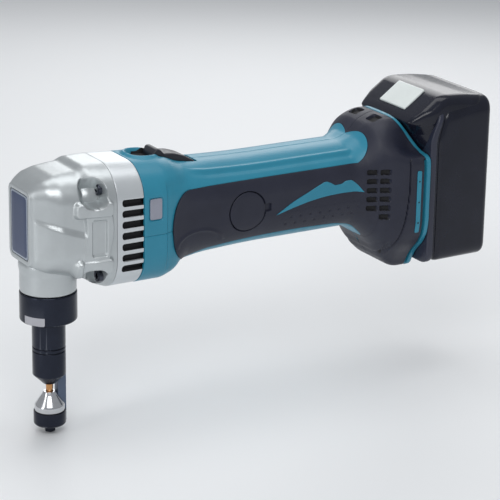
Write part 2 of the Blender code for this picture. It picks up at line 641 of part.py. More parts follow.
def make_die_parts():
    bright = material("ground_steel", (0.62, 0.63, 0.65), 0.18, 1.0)
    dark = material("screw_black", (0.04, 0.04, 0.045), 0.4, 0.7)
    shank_bottom = CUP_BOTTOM + CUP_FLOOR + GAP
    bore = PUNCH_TIP_RADIUS + GAP
    profile = [(DIE_TIP_RADIUS, DIE_TOP), (DIE_TIP_RADIUS + 1.0 * MM, DIE_TOP - 2.2 * MM),
               (TUBE_RADIUS - 1.4 * MM, DIE_BASE + 4.2 * MM), (TUBE_RADIUS - 1.0 * MM, DIE_BASE),
               (DIE_SHANK_RADIUS, DIE_BASE), (DIE_SHANK_RADIUS, shank_bottom), (bore, shank_bottom),
               (bore, DIE_TOP)]
    die = turned("die", profile, (0, 0, 0), "Z", bright, steps=24, ring=True)
    slot = TUBE_RADIUS - STRUT_DEPTH - GAP
    cut(die, box("strut_slot", (slot, -STRUT_HALF - GAP, 0), (0.03, STRUT_HALF + GAP, 0.06)))
    shank_top = shank_bottom + 4 * MM
    screw = rod("die_screw", (0, 0, 0), (0, 0, SCREW_HEAD_HEIGHT), SCREW_HEAD_RADIUS, dark, sides=6)
    join(screw, rod("die_screw_shank", (0, 0, 1 * MM), (0, 0, shank_top), SCREW_SHANK_RADIUS, sides=16))
    return die, screw


def make_punch():
    copper = material("punch_bronze", (0.55, 0.29, 0.12), 0.3, 0.9)
    steel = material("ram_steel", (0.4, 0.4, 0.42), 0.35, 0.9)
    low = DIE_TOP - PUNCH_IN_DIE
    top = RAM_BOTTOM + 6 * MM
    shoulder = TUBE_BOTTOM + 2.6 * MM
    punch = turned("punch", [(0, top), (PUNCH_RADIUS, top), (PUNCH_RADIUS, shoulder), (PUNCH_TIP_RADIUS,
                                                                                       shoulder),
                             (PUNCH_TIP_RADIUS, low), (0, low)], (0, 0, 0), "Z", copper, steps=20)
    ram = rod("ram", (0, 0, RAM_BOTTOM), (0, 0, RAM_TOP), RAM_RADIUS, steel, sides=28)
    cut(ram, rod("punch_socket", (0, 0, 0), (0, 0, top + GAP), PUNCH_RADIUS + GAP, sides=20))
    cut(ram, box("rod_slot", (-ROD_HALF - 0.5 * MM, -0.05, SLOT_FLOOR), (ROD_HALF + 0.5 * MM, 0.05, 0.3)))
    cut(ram, rod("pin_hole", (-0.05, 0, PIN_Z), (0.05, 0, PIN_Z), WRIST_PIN_RADIUS + GAP, sides=16))
    reach = math.sqrt(RAM_RADIUS**2 - WRIST_PIN_RADIUS**2) - 0.2 * MM
    pin = rod("wrist_pin", (-reach, 0, PIN_Z), (reach, 0, PIN_Z), WRIST_PIN_RADIUS, steel, sides=16)
    return punch, ram, pin


def make_connecting_rod():
    steel = material("rod_steel", (0.45, 0.45, 0.47), 0.35, 0.9)
    centre = CRANK_Z - THROW
    bore = ECCENTRIC_RADIUS + GAP
    rod_piece = rod("connecting_rod", (-ROD_HALF, 0, centre), (ROD_HALF, 0, centre), bore + ROD_RING, steel,
                    sides=28)
    join(rod_piece, box("rod_stem", (-ROD_HALF + 0.2 * MM, -4 * MM, PIN_Z + 2 * MM), (ROD_HALF - 0.2 * MM,
                                                                                      4 * MM, centre)))
    eye = rounded_outline(EYE_HALF_Y + EYE_WALL, PIN_Z + EYE_HALF_Z + EYE_WALL,
                          PIN_Z - EYE_HALF_Z - EYE_WALL, 6 * MM)
    join(rod_piece, prism("rod_eye", eye, "X", -ROD_HALF + 0.1 * MM, ROD_HALF - 0.1 * MM))
    hole = rounded_outline(EYE_HALF_Y, PIN_Z + EYE_HALF_Z, PIN_Z - EYE_HALF_Z, 4 * MM)
    cut(rod_piece, prism("eye_hole", hole, "X", -0.02, 0.02))
    cut(rod_piece, rod("eccentric_hole", (-0.02, 0, centre), (0.02, 0, centre), bore, sides=28))
    return rod_piece


def make_crank():
    steel = material("crank_steel", (0.42, 0.42, 0.45), 0.3, 0.9)
    gear_steel = material("gear_steel", (0.3, 0.3, 0.33), 0.4, 0.9)
    web = ROD_HALF + GAP
    front = NOSE_X + 5.0 * MM
    rear = BRACKET_X + 1 * MM + BEARING_WIDTH
    profile = [(0, rear), (JOURNAL_RADIUS, rear), (JOURNAL_RADIUS, GEAR_REAR + 0.6 * MM),
               (SHAFT_RADIUS, GEAR_REAR + 0.6 * MM), (SHAFT_RADIUS, GEAR_FRONT - 0.6 * MM),
               (SHAFT_RADIUS + 2.6 * MM, GEAR_FRONT - 0.6 * MM), (SHAFT_RADIUS + 2.6 * MM, web), (0, web)]
    shaft = turned("crankshaft", profile, (0, 0, CRANK_Z), "X", steel, steps=24)
    join(shaft, rod("eccentric", (-web, 0, CRANK_Z - THROW), (web + 0.5 * MM, 0, CRANK_Z - THROW),
                    ECCENTRIC_RADIUS, sides=28))
    join(shaft, rod("front_web", (-web - 0.9 * MM, 0, CRANK_Z), (-web + 0.1 * MM, 0, CRANK_Z),
                    JOURNAL_RADIUS + 1.2 * MM, sides=24))
    join(shaft, rod("front_journal", (front, 0, CRANK_Z), (-web - 0.5 * MM, 0, CRANK_Z), JOURNAL_RADIUS,
                    sides=20))
    gear = prism("crank_gear", gear_outline(GEAR_TEETH, 0, CRANK_Z, -math.pi / 2), "X", GEAR_FRONT,
                 GEAR_REAR, gear_steel)
    cut(gear, rod("gear_bore", (-0.05, 0, CRANK_Z), (0.1, 0, CRANK_Z), SHAFT_RADIUS + GAP, sides=24))
    return shaft, gear


def make_armature():
    steel = material("shaft_steel", (0.5, 0.5, 0.52), 0.3, 1.0)
    iron = material("lamination_iron", (0.2, 0.2, 0.21), 0.5, 0.7)
    copper = material("commutator_copper", (0.6, 0.3, 0.16), 0.35, 1.0)
    plastic = material("fan_plastic", (0.04, 0.04, 0.045), 0.5)
    shaft = turned("armature_shaft", [(0, MOTOR_REAR + BEARING_WIDTH), (MOTOR_SHAFT_RADIUS,
                                                                        MOTOR_REAR + BEARING_WIDTH),
                                      (MOTOR_SHAFT_RADIUS, GEAR_REAR + 0.8 * MM), (0, GEAR_REAR + 0.8 * MM)],
                   (0, 0, MOTOR_Z), "X", steel, steps=20)
    half_tooth = math.pi / PINION_TEETH
    pinion = prism("pinion", gear_outline(PINION_TEETH, 0, MOTOR_Z, math.pi / 2 + half_tooth), "X",
                   GEAR_FRONT, GEAR_REAR + 1.2 * MM)
    join(shaft, pinion)
    bore = MOTOR_SHAFT_RADIUS + GAP
    core = turned("armature_core", tube_profile(bore, CORE_RADIUS, YOKE_X + 5 * MM, YOKE_END - 5 * MM),
                  (0, 0, MOTOR_Z),
                  "X", iron, steps=24, ring=True)
    for number in range(5):
        angle = (number + 0.5) * math.tau / 5
        y, z = CORE_RADIUS * math.cos(angle), MOTOR_Z + CORE_RADIUS * math.sin(angle)
        cut(core, rod(f"winding_slot_{number}", (YOKE_X, y, z), (YOKE_END, y, z), 1.5 * MM, sides=8))
    commutator = turned("commutator", tube_profile(bore, COMMUTATOR_RADIUS, COMMUTATOR_X,
                                                   COMMUTATOR_X + COMMUTATOR_LENGTH),
                        (0, 0, MOTOR_Z), "X", copper, steps=24, ring=True)
    blades = []
    for blade in range(10):
        for turn_share, radius in ((-0.30, 8 * MM), (-0.08, FAN_RADIUS - 0.8 * MM),
                                   (0.08, FAN_RADIUS - 0.8 * MM), (0.14, 8 * MM)):
            angle = (blade + turn_share) * math.pi / 5
            blades.append((radius * math.cos(angle), MOTOR_Z + radius * math.sin(angle)))
    fan = prism("cooling_fan", blades, "X", FAN_X, FAN_X + 6 * MM, plastic)
    join(fan, rod("fan_disc", (FAN_X + 5 * MM, 0, MOTOR_Z), (FAN_X + 6.6 * MM, 0, MOTOR_Z), FAN_RADIUS,
                  sides=32))
    cut(fan, rod("fan_bore", (0, 0, MOTOR_Z), (0.1, 0, MOTOR_Z), bore, sides=20))
    return shaft, core, commutator, fan


def make_motor_frame():
    zinc = material("yoke_zinc", (0.45, 0.46, 0.48), 0.4, 0.9)
    ferrite = material("magnet_ferrite", (0.08, 0.08, 0.085), 0.6)
    plastic = material("baffle_plastic", (0.05, 0.05, 0.055), 0.5)
    carbon = material("brush_carbon", (0.05, 0.05, 0.05), 0.6)
    turned("motor_yoke", tube_profile(YOKE_RADIUS - 2 * MM, YOKE_RADIUS, YOKE_X, YOKE_END), (0, 0, MOTOR_Z),
           "X",
           zinc, steps=28, ring=True)
    for side in (-1, 1):
        name = side_name(side)
        magnet = turned(f"magnet_{name}", tube_profile(CORE_RADIUS + 0.8 * MM, YOKE_RADIUS - 2 * MM - GAP,
                                                       YOKE_X + 4 * MM,
                                                       YOKE_END - 4 * MM), (0, 0, MOTOR_Z), "X", ferrite,
                        steps=32, ring=True)
        low, high = (4 * MM, 0.05) if side > 0 else (-0.05, -4 * MM)
        keep(magnet, box(f"magnet_arc_{name}", (0, low, 0.05), (0.2, high, 0.2)))
        reach = sorted((side * (COMMUTATOR_RADIUS + GAP), side * (GRIP_HALF_WIDTH - WALL - 2.2 * MM)))
        box(f"carbon_brush_{name}", (BRUSH_X - 3 * MM, reach[0], MOTOR_Z - 4 * MM), (BRUSH_X + 3 * MM,
                                                                                     reach[1],
                                                                                     MOTOR_Z + 4 * MM),
            carbon)
    baffle = loft("fan_baffle", [(RING_END + 1 * MM, *row[1:]) for row in body_stations()[:1]]
                  + [(RING_END + 3 * MM, *row[1:]) for row in body_stations()[:1]], inset=SKIN + WALL + GAP,
                  finish=plastic)
    cut(baffle, rod("baffle_hole", (0, 0, MOTOR_Z), (0.2, 0, MOTOR_Z), CORE_RADIUS, sides=28))
    disc_outline = rounded_outline(GRIP_HALF_WIDTH - SKIN - WALL - 2 * GAP, MOTOR_Z + 14 * MM,
                                   MOTOR_Z - 14 * MM, 8 * MM)
    cap = prism("bearing_holder", disc_outline, "X", MOTOR_REAR - 2 * MM,
                MOTOR_REAR + BEARING_WIDTH + 1 * MM, plastic)
    cut(cap, rod("bearing_pocket", (MOTOR_REAR - GAP, 0, MOTOR_Z), (0.3, 0, MOTOR_Z),
                 MOTOR_SHAFT_RADIUS + BEARING_RING + GAP, sides=28))
    cut(cap, rod("bearing_shaft_hole", (0, 0, MOTOR_Z), (0.3, 0, MOTOR_Z), MOTOR_SHAFT_RADIUS + 1 * MM))


def cover_outline(grow=0.0):
    """The grip cover's edge in side view, (X, Z), from its front corner over the top."""
    top = HEAD_Z + 19.5 * MM
    low = HEAD_Z - GRIP_BOTTOM
    front = FRONT_END + 6 * MM
    points = [
        (front + 12 * MM, top), (GRIP_REAR - 2 * MM, top), (GRIP_REAR + 8 * MM, top + 3 * MM),
        (GRIP_REAR + 13.5 * MM, top + 10 * MM), (GRIP_REAR + 13.5 * MM, top + 20 * MM),
              (GRIP_REAR + 11 * MM, top + 60 * MM),
        (FLANGE_X - FLANGE_PLATE, top + 60 * MM), (FLANGE_X - FLANGE_PLATE, low - 60 * MM),
        (GRIP_REAR + 38 * MM, low - 22 * MM), (GRIP_REAR + 22 * MM, low - 5 * MM), (GRIP_REAR + 10 * MM,
                                                                                    low + 2.5 * MM),
        (GRIP_REAR, low + 3.5 * MM), (GRIP_FRONT + 10 * MM, low + 4.0 * MM), (front + 10 * MM, low + 5 * MM),
        (front + 3.5 * MM, low + 10 * MM), (front + 0.5 * MM, low + 17 * MM), (front, low + 25 * MM),
        (front + 4 * MM, top - 12 * MM),
    ]
    return grown(points, grow) if grow else points


def grown(points, distance):
    """Moves each side of a clockwise outline outwards by a distance."""
    moved = []
    for before, point, after in zip(points[-1:] + points[:-1], points, points[1:] + points[:1]):
        into = (Vector(point) - Vector(before)).normalized()
        out_of = (Vector(after) - Vector(point)).normalized()
        normals = Vector((-into.y, into.x)), Vector((-out_of.y, out_of.x))
        middle = (normals[0] + normals[1]).normalized()
        moved.append(tuple(Vector(point) + middle * (distance / middle.dot(normals[0]))))
    return moved


def case_screw_places():
    """Where the clamshell's screws cross the housing, (X, Z)."""
    return [(YOKE_X - 5 * MM, HEAD_Z - 24 * MM), (GRIP_REAR - 8 * MM, HEAD_Z), (GRIP_REAR + 24 * MM,
                                                                                HEAD_Z - 16 * MM)]


def half_width_at(x):
    """Half the body's width at x, between its stations."""
    stations = body_stations()
    for before, after in zip(stations, stations[1:]):
        if before[0] <= x <= after[0]:
            share = (x - before[0]) / (after[0] - before[0])
            return before[1] + share * (after[1] - before[1])
    return stations[-1][1]


def make_housing():
    teal = material("teal_plastic", (0.02, 0.23, 0.35), 0.38)
    rubber = material("grip_rubber", (0.025, 0.027, 0.04), 0.55)
    grey = material("lens_grey", (0.35, 0.4, 0.46), 0.3)
    stations = body_stations()
    lengthened = [(stations[0][0] - 3 * MM, *stations[0][1:]), *stations, (FLANGE_X + 3 * MM,
                                                                           *stations[-1][1:])]
    hollow = [row for row in stations if row[0] < RAIL_X - 8 * MM]
    hollow = [(stations[0][0] - 3 * MM, *stations[0][1:]), *hollow, (RAIL_X - 4 * MM, *hollow[-1][1:])]
    case_holes = []
    for side in (-1, 1):
        name = side_name(side)
        half = half_space(f"beyond_split_{name}", side)
        housing = loft(f"housing_{name}", stations, finish=teal)
        recess = prism(f"cover_recess_{name}", cover_outline(GAP), "Y", *sorted((0.0, side * 0.08)))
        cut(recess, loft(f"recess_floor_{name}", lengthened, inset=SKIN + GAP))
        cut(housing, recess, loft(f"housing_hollow_{name}", hollow, inset=SKIN + WALL))
        slope_cut = prism(f"hump_clearance_{name}", slope_outline(), "Y", -0.08, 0.08)
        cut(housing, slope_cut, rail_space(f"rail_slot_{name}", GAP * 1.5))
        cut(housing, box(f"terminal_window_{name}", (RAIL_X - 9 * MM, -16 * MM - GAP, HEAD_Z - 14 * MM - GAP),
                         (RAIL_X + 1 * MM, 16 * MM + GAP, HEAD_Z + 14 * MM + GAP)))
        cut(housing, box(f"lever_slot_{name}", (LEVER_FRONT - LEVER_TRAVEL - 3 * MM, -LEVER_HALF - GAP,
                                                HEAD_Z + 26 * MM),
                         (LEVER_FRONT + LEVER_LENGTH + GAP * 2, LEVER_HALF + GAP, HEAD_Z + 60 * MM)))
        y_out = side * 0.06
        cut(housing, rod(f"brush_opening_{name}", (BRUSH_X, 0, MOTOR_Z), (BRUSH_X, y_out, MOTOR_Z),
                         BRUSH_COVER_RADIUS + GAP, sides=32))
        lens_low = (LENS_X, min(side * (HEAD_HALF_WIDTH - 1.6 * MM), y_out), LENS_Z)
        lens_high = (LENS_X + LENS_SIZE[0], max(side * (HEAD_HALF_WIDTH - 1.6 * MM), y_out),
                     LENS_Z + LENS_SIZE[1])
        pocket = box(f"lens_pocket_{name}", Vector(lens_low) - Vector((GAP, GAP, GAP)),
                     Vector(lens_high) + Vector((GAP, GAP, GAP)))
        boss_limit = loft(f"boss_limit_{name}", lengthened, inset=SKIN + WALL / 2)
        for number, (x, z) in enumerate(case_screw_places(), start=1):
            outer = half_width_at(x)
            boss = rod(f"case_boss_{name}_{number}", (x, 0, z), (x, y_out, z), 4.2 * MM, sides=12)
            join(housing, keep(boss, boss_limit))
            if side > 0:
                bore_y, head_y = 0.0, outer - CASE_SCREW_DEPTH - GAP
                head_hole = rod(f"case_counterbore_{number}", (x, head_y, z), (x, 0.06, z), 3.5 * MM,
                                sides=16)
                cut(housing, head_hole)
                case_holes.append(head_hole)
            else:
                bore_y, head_y = -9 * MM, 0.0
            cut(housing, rod(f"case_bore_{name}_{number}", (x, bore_y, z), (x, head_y + 2 * MM, z),
                             1.6 * MM + GAP, sides=12))
        cut(housing, pocket, half)
        lens = box(f"indicator_lens_{name}", lens_low, lens_high, grey)
        keep(lens, loft(f"lens_surface_{name}", lengthened))

        cover = prism(f"grip_cover_{name}", cover_outline(), "Y", *sorted((side * GAP / 2, side * 0.08)),
                      rubber)
        keep(cover, loft(f"cover_surface_{name}", lengthened))
        cut(cover, loft(f"cover_back_{name}", lengthened, inset=SKIN))
        cut(cover, prism(f"cover_slope_{name}", slope_outline(), "Y", -0.08, 0.08))
        cut(cover, rail_space(f"cover_rail_slot_{name}", GAP * 1.5))
        cut(cover, rod(f"cover_opening_{name}", (BRUSH_X, 0, MOTOR_Z), (BRUSH_X, y_out, MOTOR_Z),
                       BRUSH_COVER_RADIUS + GAP, sides=32))

        if side > 0:
            cut(cover, *case_holes)

        disc = rod(f"brush_cover_{name}", (BRUSH_X, side * (GRIP_HALF_WIDTH - SKIN - WALL), MOTOR_Z),
                   (BRUSH_X, y_out, MOTOR_Z),
                   BRUSH_COVER_RADIUS, rubber, sides=32)
        keep(disc, loft(f"disc_surface_{name}", lengthened))


def make_case_screws():
    steel = material("case_screw_steel", (0.1, 0.1, 0.11), 0.4, 0.8)
    for number, (x, z) in enumerate(case_screw_places(), start=1):
        seat = half_width_at(x) - CASE_SCREW_DEPTH
        screw = rod(f"case_screw_{number}", (x, -7 * MM, z), (x, seat + 0.5 * MM, z), 1.6 * MM, steel,
                    sides=12)
        join(screw, rod(f"case_screw_head_{number}", (x, seat, z), (x, seat + 2.2 * MM, z), 3.1 * MM,
                        sides=14))
        cut(screw, rod(f"case_screw_socket_{number}", (x, seat + 0.8 * MM, z), (x, seat + 4 * MM, z),
                       1.6 * MM, sides=6))


def slope_outline():
    """Everything behind the slanted top of the rear end, in (X, Z)."""
    foot, head = Vector(SLOPE_FOOT), Vector(SLOPE_HEAD)
    run = head - foot
    high = head + run
    return [(foot.x + 0.1, foot.y), (foot.x, foot.y), (high.x, high.y), (high.x + 0.2,
                                                                                              high.y + 0.1)]


def rail_space(name, grow, top=0.3):
    """The slot for the battery's rails: a wide channel behind two lips."""
    wide = RAIL_HALF + grow
    narrow = RAIL_NECK_HALF + grow
    lip_x = FLANGE_X - RAIL_LIP
    outline = [(RAIL_X - grow, -wide), (lip_x + grow, -wide), (lip_x + grow, -narrow), (FLANGE_X + 5 * MM,
                                                                                        -narrow),
               (FLANGE_X + 5 * MM, narrow), (lip_x + grow, narrow), (lip_x + grow, wide), (RAIL_X - grow,
                                                                                           wide)]
    return prism(name, outline, "Z", RAIL_BOTTOM - grow, top)


def make_switch():
    black = material("switch_black", (0.02, 0.02, 0.024), 0.45)
    grey = material("switch_grey", (0.12, 0.12, 0.13), 0.5)
    x, length = LEVER_FRONT, LEVER_LENGTH
    base = HEAD_Z + 27.0 * MM
    outline = [(x, base), (x + length, base), (x + length, LEVER_TOP - 5.5 * MM), (x + length - 9 * MM,
                                                                                   LEVER_TOP - 1.4 * MM),
               (x + 12 * MM, LEVER_TOP + 0.6 * MM), (x + 8 * MM, LEVER_TOP + 1.4 * MM),
               (x + 5 * MM, LEVER_TOP + 4.5 * MM),
               (x + 1.5 * MM, LEVER_TOP + 4.2 * MM), (x, LEVER_TOP - 2 * MM)]
    lever = prism("slide_switch_lever", outline, "Y", -LEVER_HALF, LEVER_HALF, black)
    bar_z = HEAD_Z + YOKE_RADIUS + 1.8 * MM
    unit_x = MOTOR_REAR + BEARING_WIDTH + 8 * MM
    bar = box("switch_rod", (x + 6 * MM, -2.5 * MM, bar_z), (unit_x - GAP, 2.5 * MM, bar_z + 2.2 * MM), grey)
    join(bar, box("switch_post", (x + 8 * MM, -2.4 * MM, bar_z + 1 * MM), (x + length - 8 * MM, 2.4 * MM,
                                                                           base - GAP)))
    unit_top = HEAD_Z + GRIP_TOP - SKIN - WALL - 1.4 * MM
    box("switch_unit", (unit_x, -8 * MM, HEAD_Z + 6 * MM), (unit_x + 26 * MM, 8 * MM, unit_top), grey)
    return lever, bar


def make_rear_internals():
    board = material("circuit_green", (0.02, 0.12, 0.06), 0.5)
    plastic = material("terminal_plastic", (0.03, 0.03, 0.033), 0.5)
    brass = material("terminal_brass", (0.6, 0.45, 0.2), 0.3, 1.0)
    unit_end = MOTOR_REAR + BEARING_WIDTH + 8 * MM
    box("control_board", (unit_end, -14 * MM, HEAD_Z - 14 * MM), (unit_end + 34 * MM, 14 * MM,
                                                                  HEAD_Z - 12.4 * MM), board)
    low, high = HEAD_Z - 14 * MM, HEAD_Z + 14 * MM
    block = box("terminal_block", (RAIL_X - 3.2 * MM - GAP, -16 * MM, low), (RAIL_X - 2 * GAP, 16 * MM,
                                                                             high), plastic)
    blade_end = RAIL_X + 6 * MM
    for side in (-1, 1):
        name = side_name(side)
        y = side * 10 * MM
        box(f"terminal_blade_{name}", (RAIL_X - 2.4 * MM, y - 0.6 * MM, low + 4 * MM),
            (blade_end, y + 0.6 * MM, high - 8 * MM), brass)
        cut(block, box(f"blade_seat_{name}", (RAIL_X - 2.4 * MM - GAP, y - 0.6 * MM - GAP,
                                              low + 4 * MM - GAP),
                       (blade_end, y + 0.6 * MM + GAP, high - 8 * MM + GAP)))
    return block


def button_outline(push=0.0):
    """The release button's section on the slanted face, (X, Z), pushed back by a distance along X."""
    run = (Vector((BUTTON_TOP_X, BUTTON_TOP_Z)) - Vector((BUTTON_FOOT_X, BUTTON_FOOT_Z))).normalized()
    inward = Vector((run.y, -run.x))
    foot = Vector((BUTTON_FOOT_X + push, BUTTON_FOOT_Z))
    head = Vector((BUTTON_TOP_X + push, BUTTON_TOP_Z))
    return foot, head, head + inward * BUTTON_THICKNESS, foot + inward * BUTTON_THICKNESS


def make_battery_case():
    black = material("battery_black", (0.012, 0.015, 0.022), 0.2)
    case = box("battery_case", (CASE_X - 20 * MM, -BATTERY_HALF_WIDTH, BATTERY_BOTTOM),
               (BATTERY_REAR, BATTERY_HALF_WIDTH, BATTERY_TOP), black)
    edge = case.modifiers.new("Bevel", "BEVEL")
    edge.width = BATTERY_CORNER
    edge.segments = 4
    wall = BATTERY_WALL
    cut(case, box("case_front", (0, -0.1, 0), (CASE_X + GAP, 0.1, 0.4)))
    cut(case, box("case_hollow", (CASE_X, -BATTERY_HALF_WIDTH + wall, BATTERY_BOTTOM + wall),
                  (BATTERY_REAR - wall, BATTERY_HALF_WIDTH - wall, BATTERY_TOP - wall),
                  bevel=BATTERY_CORNER - wall))
    cut(case, box("hump_notch", (0, -HUMP_HALF - GAP, HUMP_FLOOR - GAP), (HUMP_BACK + GAP, HUMP_HALF + GAP,
                                                                          0.4)))
    return case


def make_battery_cover():
    black = material("battery_cover_black", (0.014, 0.016, 0.022), 0.25)
    outline = rounded_outline(BATTERY_HALF_WIDTH, BATTERY_TOP - 6 * MM, BATTERY_BOTTOM, 8 * MM)
    cover = prism("battery_cover", outline, "X", BATTERY_X, CASE_X, black)
    foot, head = Vector(SLOPE_FOOT), Vector(SLOPE_HEAD)
    lift = 1.2 * MM
    start = Vector((BATTERY_X, foot.y + lift))
    run = (head - foot).normalized()
    front = start + run * ((head - foot).length - 1.5 * MM)
    hump_outline = [start, front, (BUTTON_FOOT_X - 1.6 * MM, BUTTON_FOOT_Z - 0.6 * MM),
                    (BUTTON_TOP_X + 0.6 * MM, HUMP_TOP),
                    (HUMP_BACK, HUMP_TOP), (HUMP_BACK, HUMP_FLOOR), (CASE_X - 0.3 * MM, HUMP_FLOOR - 4 * MM),
                    (CASE_X - 0.3 * MM, foot.y + lift)]
    hump = prism("hump", hump_outline, "Y", -HUMP_HALF, HUMP_HALF)
    join(cover, hump)
    lip_x = FLANGE_X - RAIL_LIP
    rails = [(RAIL_X + GAP, -RAIL_HALF), (lip_x - GAP, -RAIL_HALF), (lip_x - GAP, -RAIL_NECK_HALF),
             (CASE_X - 1 * MM, -RAIL_NECK_HALF),
             (CASE_X - 1 * MM, RAIL_NECK_HALF), (lip_x - GAP, RAIL_NECK_HALF), (lip_x - GAP, RAIL_HALF),
             (RAIL_X + GAP, RAIL_HALF)]
    join(cover, prism("rails", rails, "Z", RAIL_BOTTOM + GAP, RAIL_TOP))
    low = HEAD_Z + 6 * MM
    for side in (-1, 1):
        y = side * 10 * MM
        cut(cover, box(f"blade_way_{side_name(side)}", (0, y - 0.6 * MM - 1.5 * GAP, 0),
                       (RAIL_X + 6 * MM + 2 * GAP, y + 0.6 * MM + 1.5 * GAP, low + 2 * GAP)))
    foot, head, head_in, foot_in = button_outline()
    pushed = button_outline(BUTTON_TRAVEL + GAP)
    room = 1.4 * GAP
    pocket = [foot + Vector((-room, 0.2 * MM)), foot + Vector((-room - 3 * MM, 4 * MM)),
              head + Vector((-1 * MM, 4 * MM)),
              pushed[1] + Vector((room, 1 * MM)), pushed[2] + Vector((room, -room)),
              pushed[3] + Vector((0, -room)),
              foot_in + Vector((-room, -room))]
    cut(cover, prism("button_pocket", pocket, "Y", -BUTTON_HALF - GAP, BUTTON_HALF + GAP))
    return cover


def make_button():
    white = material("button_grey", (0.7, 0.74, 0.74), 0.4)
    button = prism("battery_release_button", button_outline(), "Y", -BUTTON_HALF, BUTTON_HALF, white)
    return button


def make_cells():
    steel = material("cell_wrap", (0.05, 0.2, 0.12), 0.35)
    front_x = CASE_X + 0.6 * MM + CELL_RADIUS
    rear_x = front_x + 2 * CELL_RADIUS + 0.6 * MM
    half = CELL_LENGTH / 2
    pairs = []
    for row in range(CELL_ROWS):
        z = BATTERY_BOTTOM + BATTERY_WALL + 1 * MM + CELL_RADIUS + row * (2 * CELL_RADIUS + 0.4 * MM)
        pair = rod(f"cell_pair_{row + 1}", (front_x, -half, z), (front_x, half, z), CELL_RADIUS, steel,
                   sides=14)
        join(pair, rod(f"rear_cell_{row + 1}", (rear_x, -half, z), (rear_x, half, z), CELL_RADIUS, sides=14))
        for side in (-1, 1):
            y = sorted((side * (half - 0.4 * MM), side * (half + 0.5 * MM)))
            join(pair, box(f"strip_{row + 1}_{side_name(side)}", (front_x - 3 * MM, y[0], z - 3 * MM),
                           (rear_x + 3 * MM, y[1], z + 3 * MM)))
        pairs.append(pair)
    return pairs


def main():
    for obj in list(bpy.data.objects):
        bpy.data.objects.remove(obj, do_unlink=True)
    make_gear_housing()
    make_head_small_parts()
    make_vent_ring()
    make_bearings()
    make_punch_sleeve()
    make_motor_frame()
    make_housing()
    make_rear_internals()
    make_case_screws()
    lock_nut = make_lock_nut()
    holder = make_die_holder()
    on_axis("lock_nut_axis", (0, 0, NUT_BOTTOM), lock_nut)
    on_axis("die_holder_axis", (0, 0, 0), holder, *make_die_parts())
    on_axis("punch_axis", (0, 0, DIE_TOP), *make_punch())
    on_axis("crank_axis", (0, 0, CRANK_Z), *make_crank())
    on_axis("rod_axis", (0, 0, CRANK_Z - THROW), make_connecting_rod())
    on_axis("motor_axis", (0, 0, MOTOR_Z), *make_armature())
    on_axis("switch_axis", (LEVER_FRONT, 0, LEVER_TOP), *make_switch())
    on_axis("battery_axis", (BATTERY_X, 0, HEAD_Z), make_battery_case(), make_battery_cover(), *make_cells())
    on_axis("button_axis", (BUTTON_FOOT_X, 0, BUTTON_FOOT_Z), make_button())


main()
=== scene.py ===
"""Looks of the cordless nibbler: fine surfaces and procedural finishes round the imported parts.

Shapes are worked out in millimetres in the part's own frame: +Z up along the punch, +X towards the
battery, and -Y is the left side. mesh_of turns them into metres.
"""

import math

import bmesh
import bpy
import numpy as np
from mathutils import Matrix, Vector


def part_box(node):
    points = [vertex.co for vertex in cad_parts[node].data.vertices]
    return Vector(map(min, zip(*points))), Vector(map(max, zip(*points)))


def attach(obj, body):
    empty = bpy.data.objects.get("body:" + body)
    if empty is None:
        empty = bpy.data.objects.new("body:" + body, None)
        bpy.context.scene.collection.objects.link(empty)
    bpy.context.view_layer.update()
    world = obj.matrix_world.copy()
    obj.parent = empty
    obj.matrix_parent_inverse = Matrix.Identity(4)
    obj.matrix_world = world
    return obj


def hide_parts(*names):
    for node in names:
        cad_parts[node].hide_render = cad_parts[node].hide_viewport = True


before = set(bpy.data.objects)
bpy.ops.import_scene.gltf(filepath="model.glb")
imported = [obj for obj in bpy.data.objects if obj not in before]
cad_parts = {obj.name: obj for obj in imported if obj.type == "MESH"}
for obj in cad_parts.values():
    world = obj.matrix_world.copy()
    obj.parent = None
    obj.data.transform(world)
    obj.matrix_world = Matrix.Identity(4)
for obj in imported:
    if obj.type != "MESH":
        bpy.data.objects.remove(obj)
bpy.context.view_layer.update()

MM = 0.001
MERGE, SLIVER = 0.012, 0.004  # points closer than MERGE become one; shorter edges than SLIVER go
STEP = 0.002  # share of a half outline, over which its tangent is taken
SIDES = (("left", -1.0), ("right", 1.0))


def place(node):
    """A node's lowest and highest corners, in millimetres."""
    low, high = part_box(node)
    return np.array(low) / MM, np.array(high) / MM


RING_LOW, RING_HIGH = place("vent_ring")
NUT_LOW, NUT_HIGH = place("lock_nut")
CASE_LOW, CASE_HIGH = place("battery_case")
HOUSING_LOW, HOUSING_HIGH = place("housing_left")
HEAD_LOW = place("gear_housing")[0]
LEVER_LOW, LEVER_HIGH = place("slide_switch_lever")
LENS_LOW, LENS_HIGH = place("indicator_lens_left")
BRUSH_LOW, BRUSH_HIGH = place("brush_cover_left")
HOLDER_HIGH = place("die_holder")[1]
PUNCH_LOW, PUNCH_HIGH = place("punch")

AXIS_Z = (RING_LOW[2] + RING_HIGH[2]) / 2  # motor axis
LENS_ABOVE = (LENS_LOW[2] - AXIS_Z, LENS_HIGH[2] - AXIS_Z)
FRONT_X = HOUSING_LOW[0]
FLANGE_X = HOUSING_HIGH[0]  # the body's rear end
GRIP_X = FLANGE_X - 152.0  # the grip's front end
GRIP_END = FLANGE_X - 52.0
SLOPE_RUN = 15.0  # of the slanted rear opening, along X
SLOPE_HEAD_X = FLANGE_X - SLOPE_RUN
SLOPE_FOOT, SLOPE_HEAD = 22.0, 44.0  # its ends, as heights over the motor's axis
RAIL_X = FLANGE_X - 17.0
SLOT_FLOOR = AXIS_Z - 41.0
NECK_HALF, RAIL_HALF, NECK_DEEP = 20.0, 24.0, 5.0  # the rail slot's neck and its wide part
RIM_WIDE = 3.6  # of the teal rim behind the soft cover
BASE = -1.9  # how deep a moulded skin's rim goes


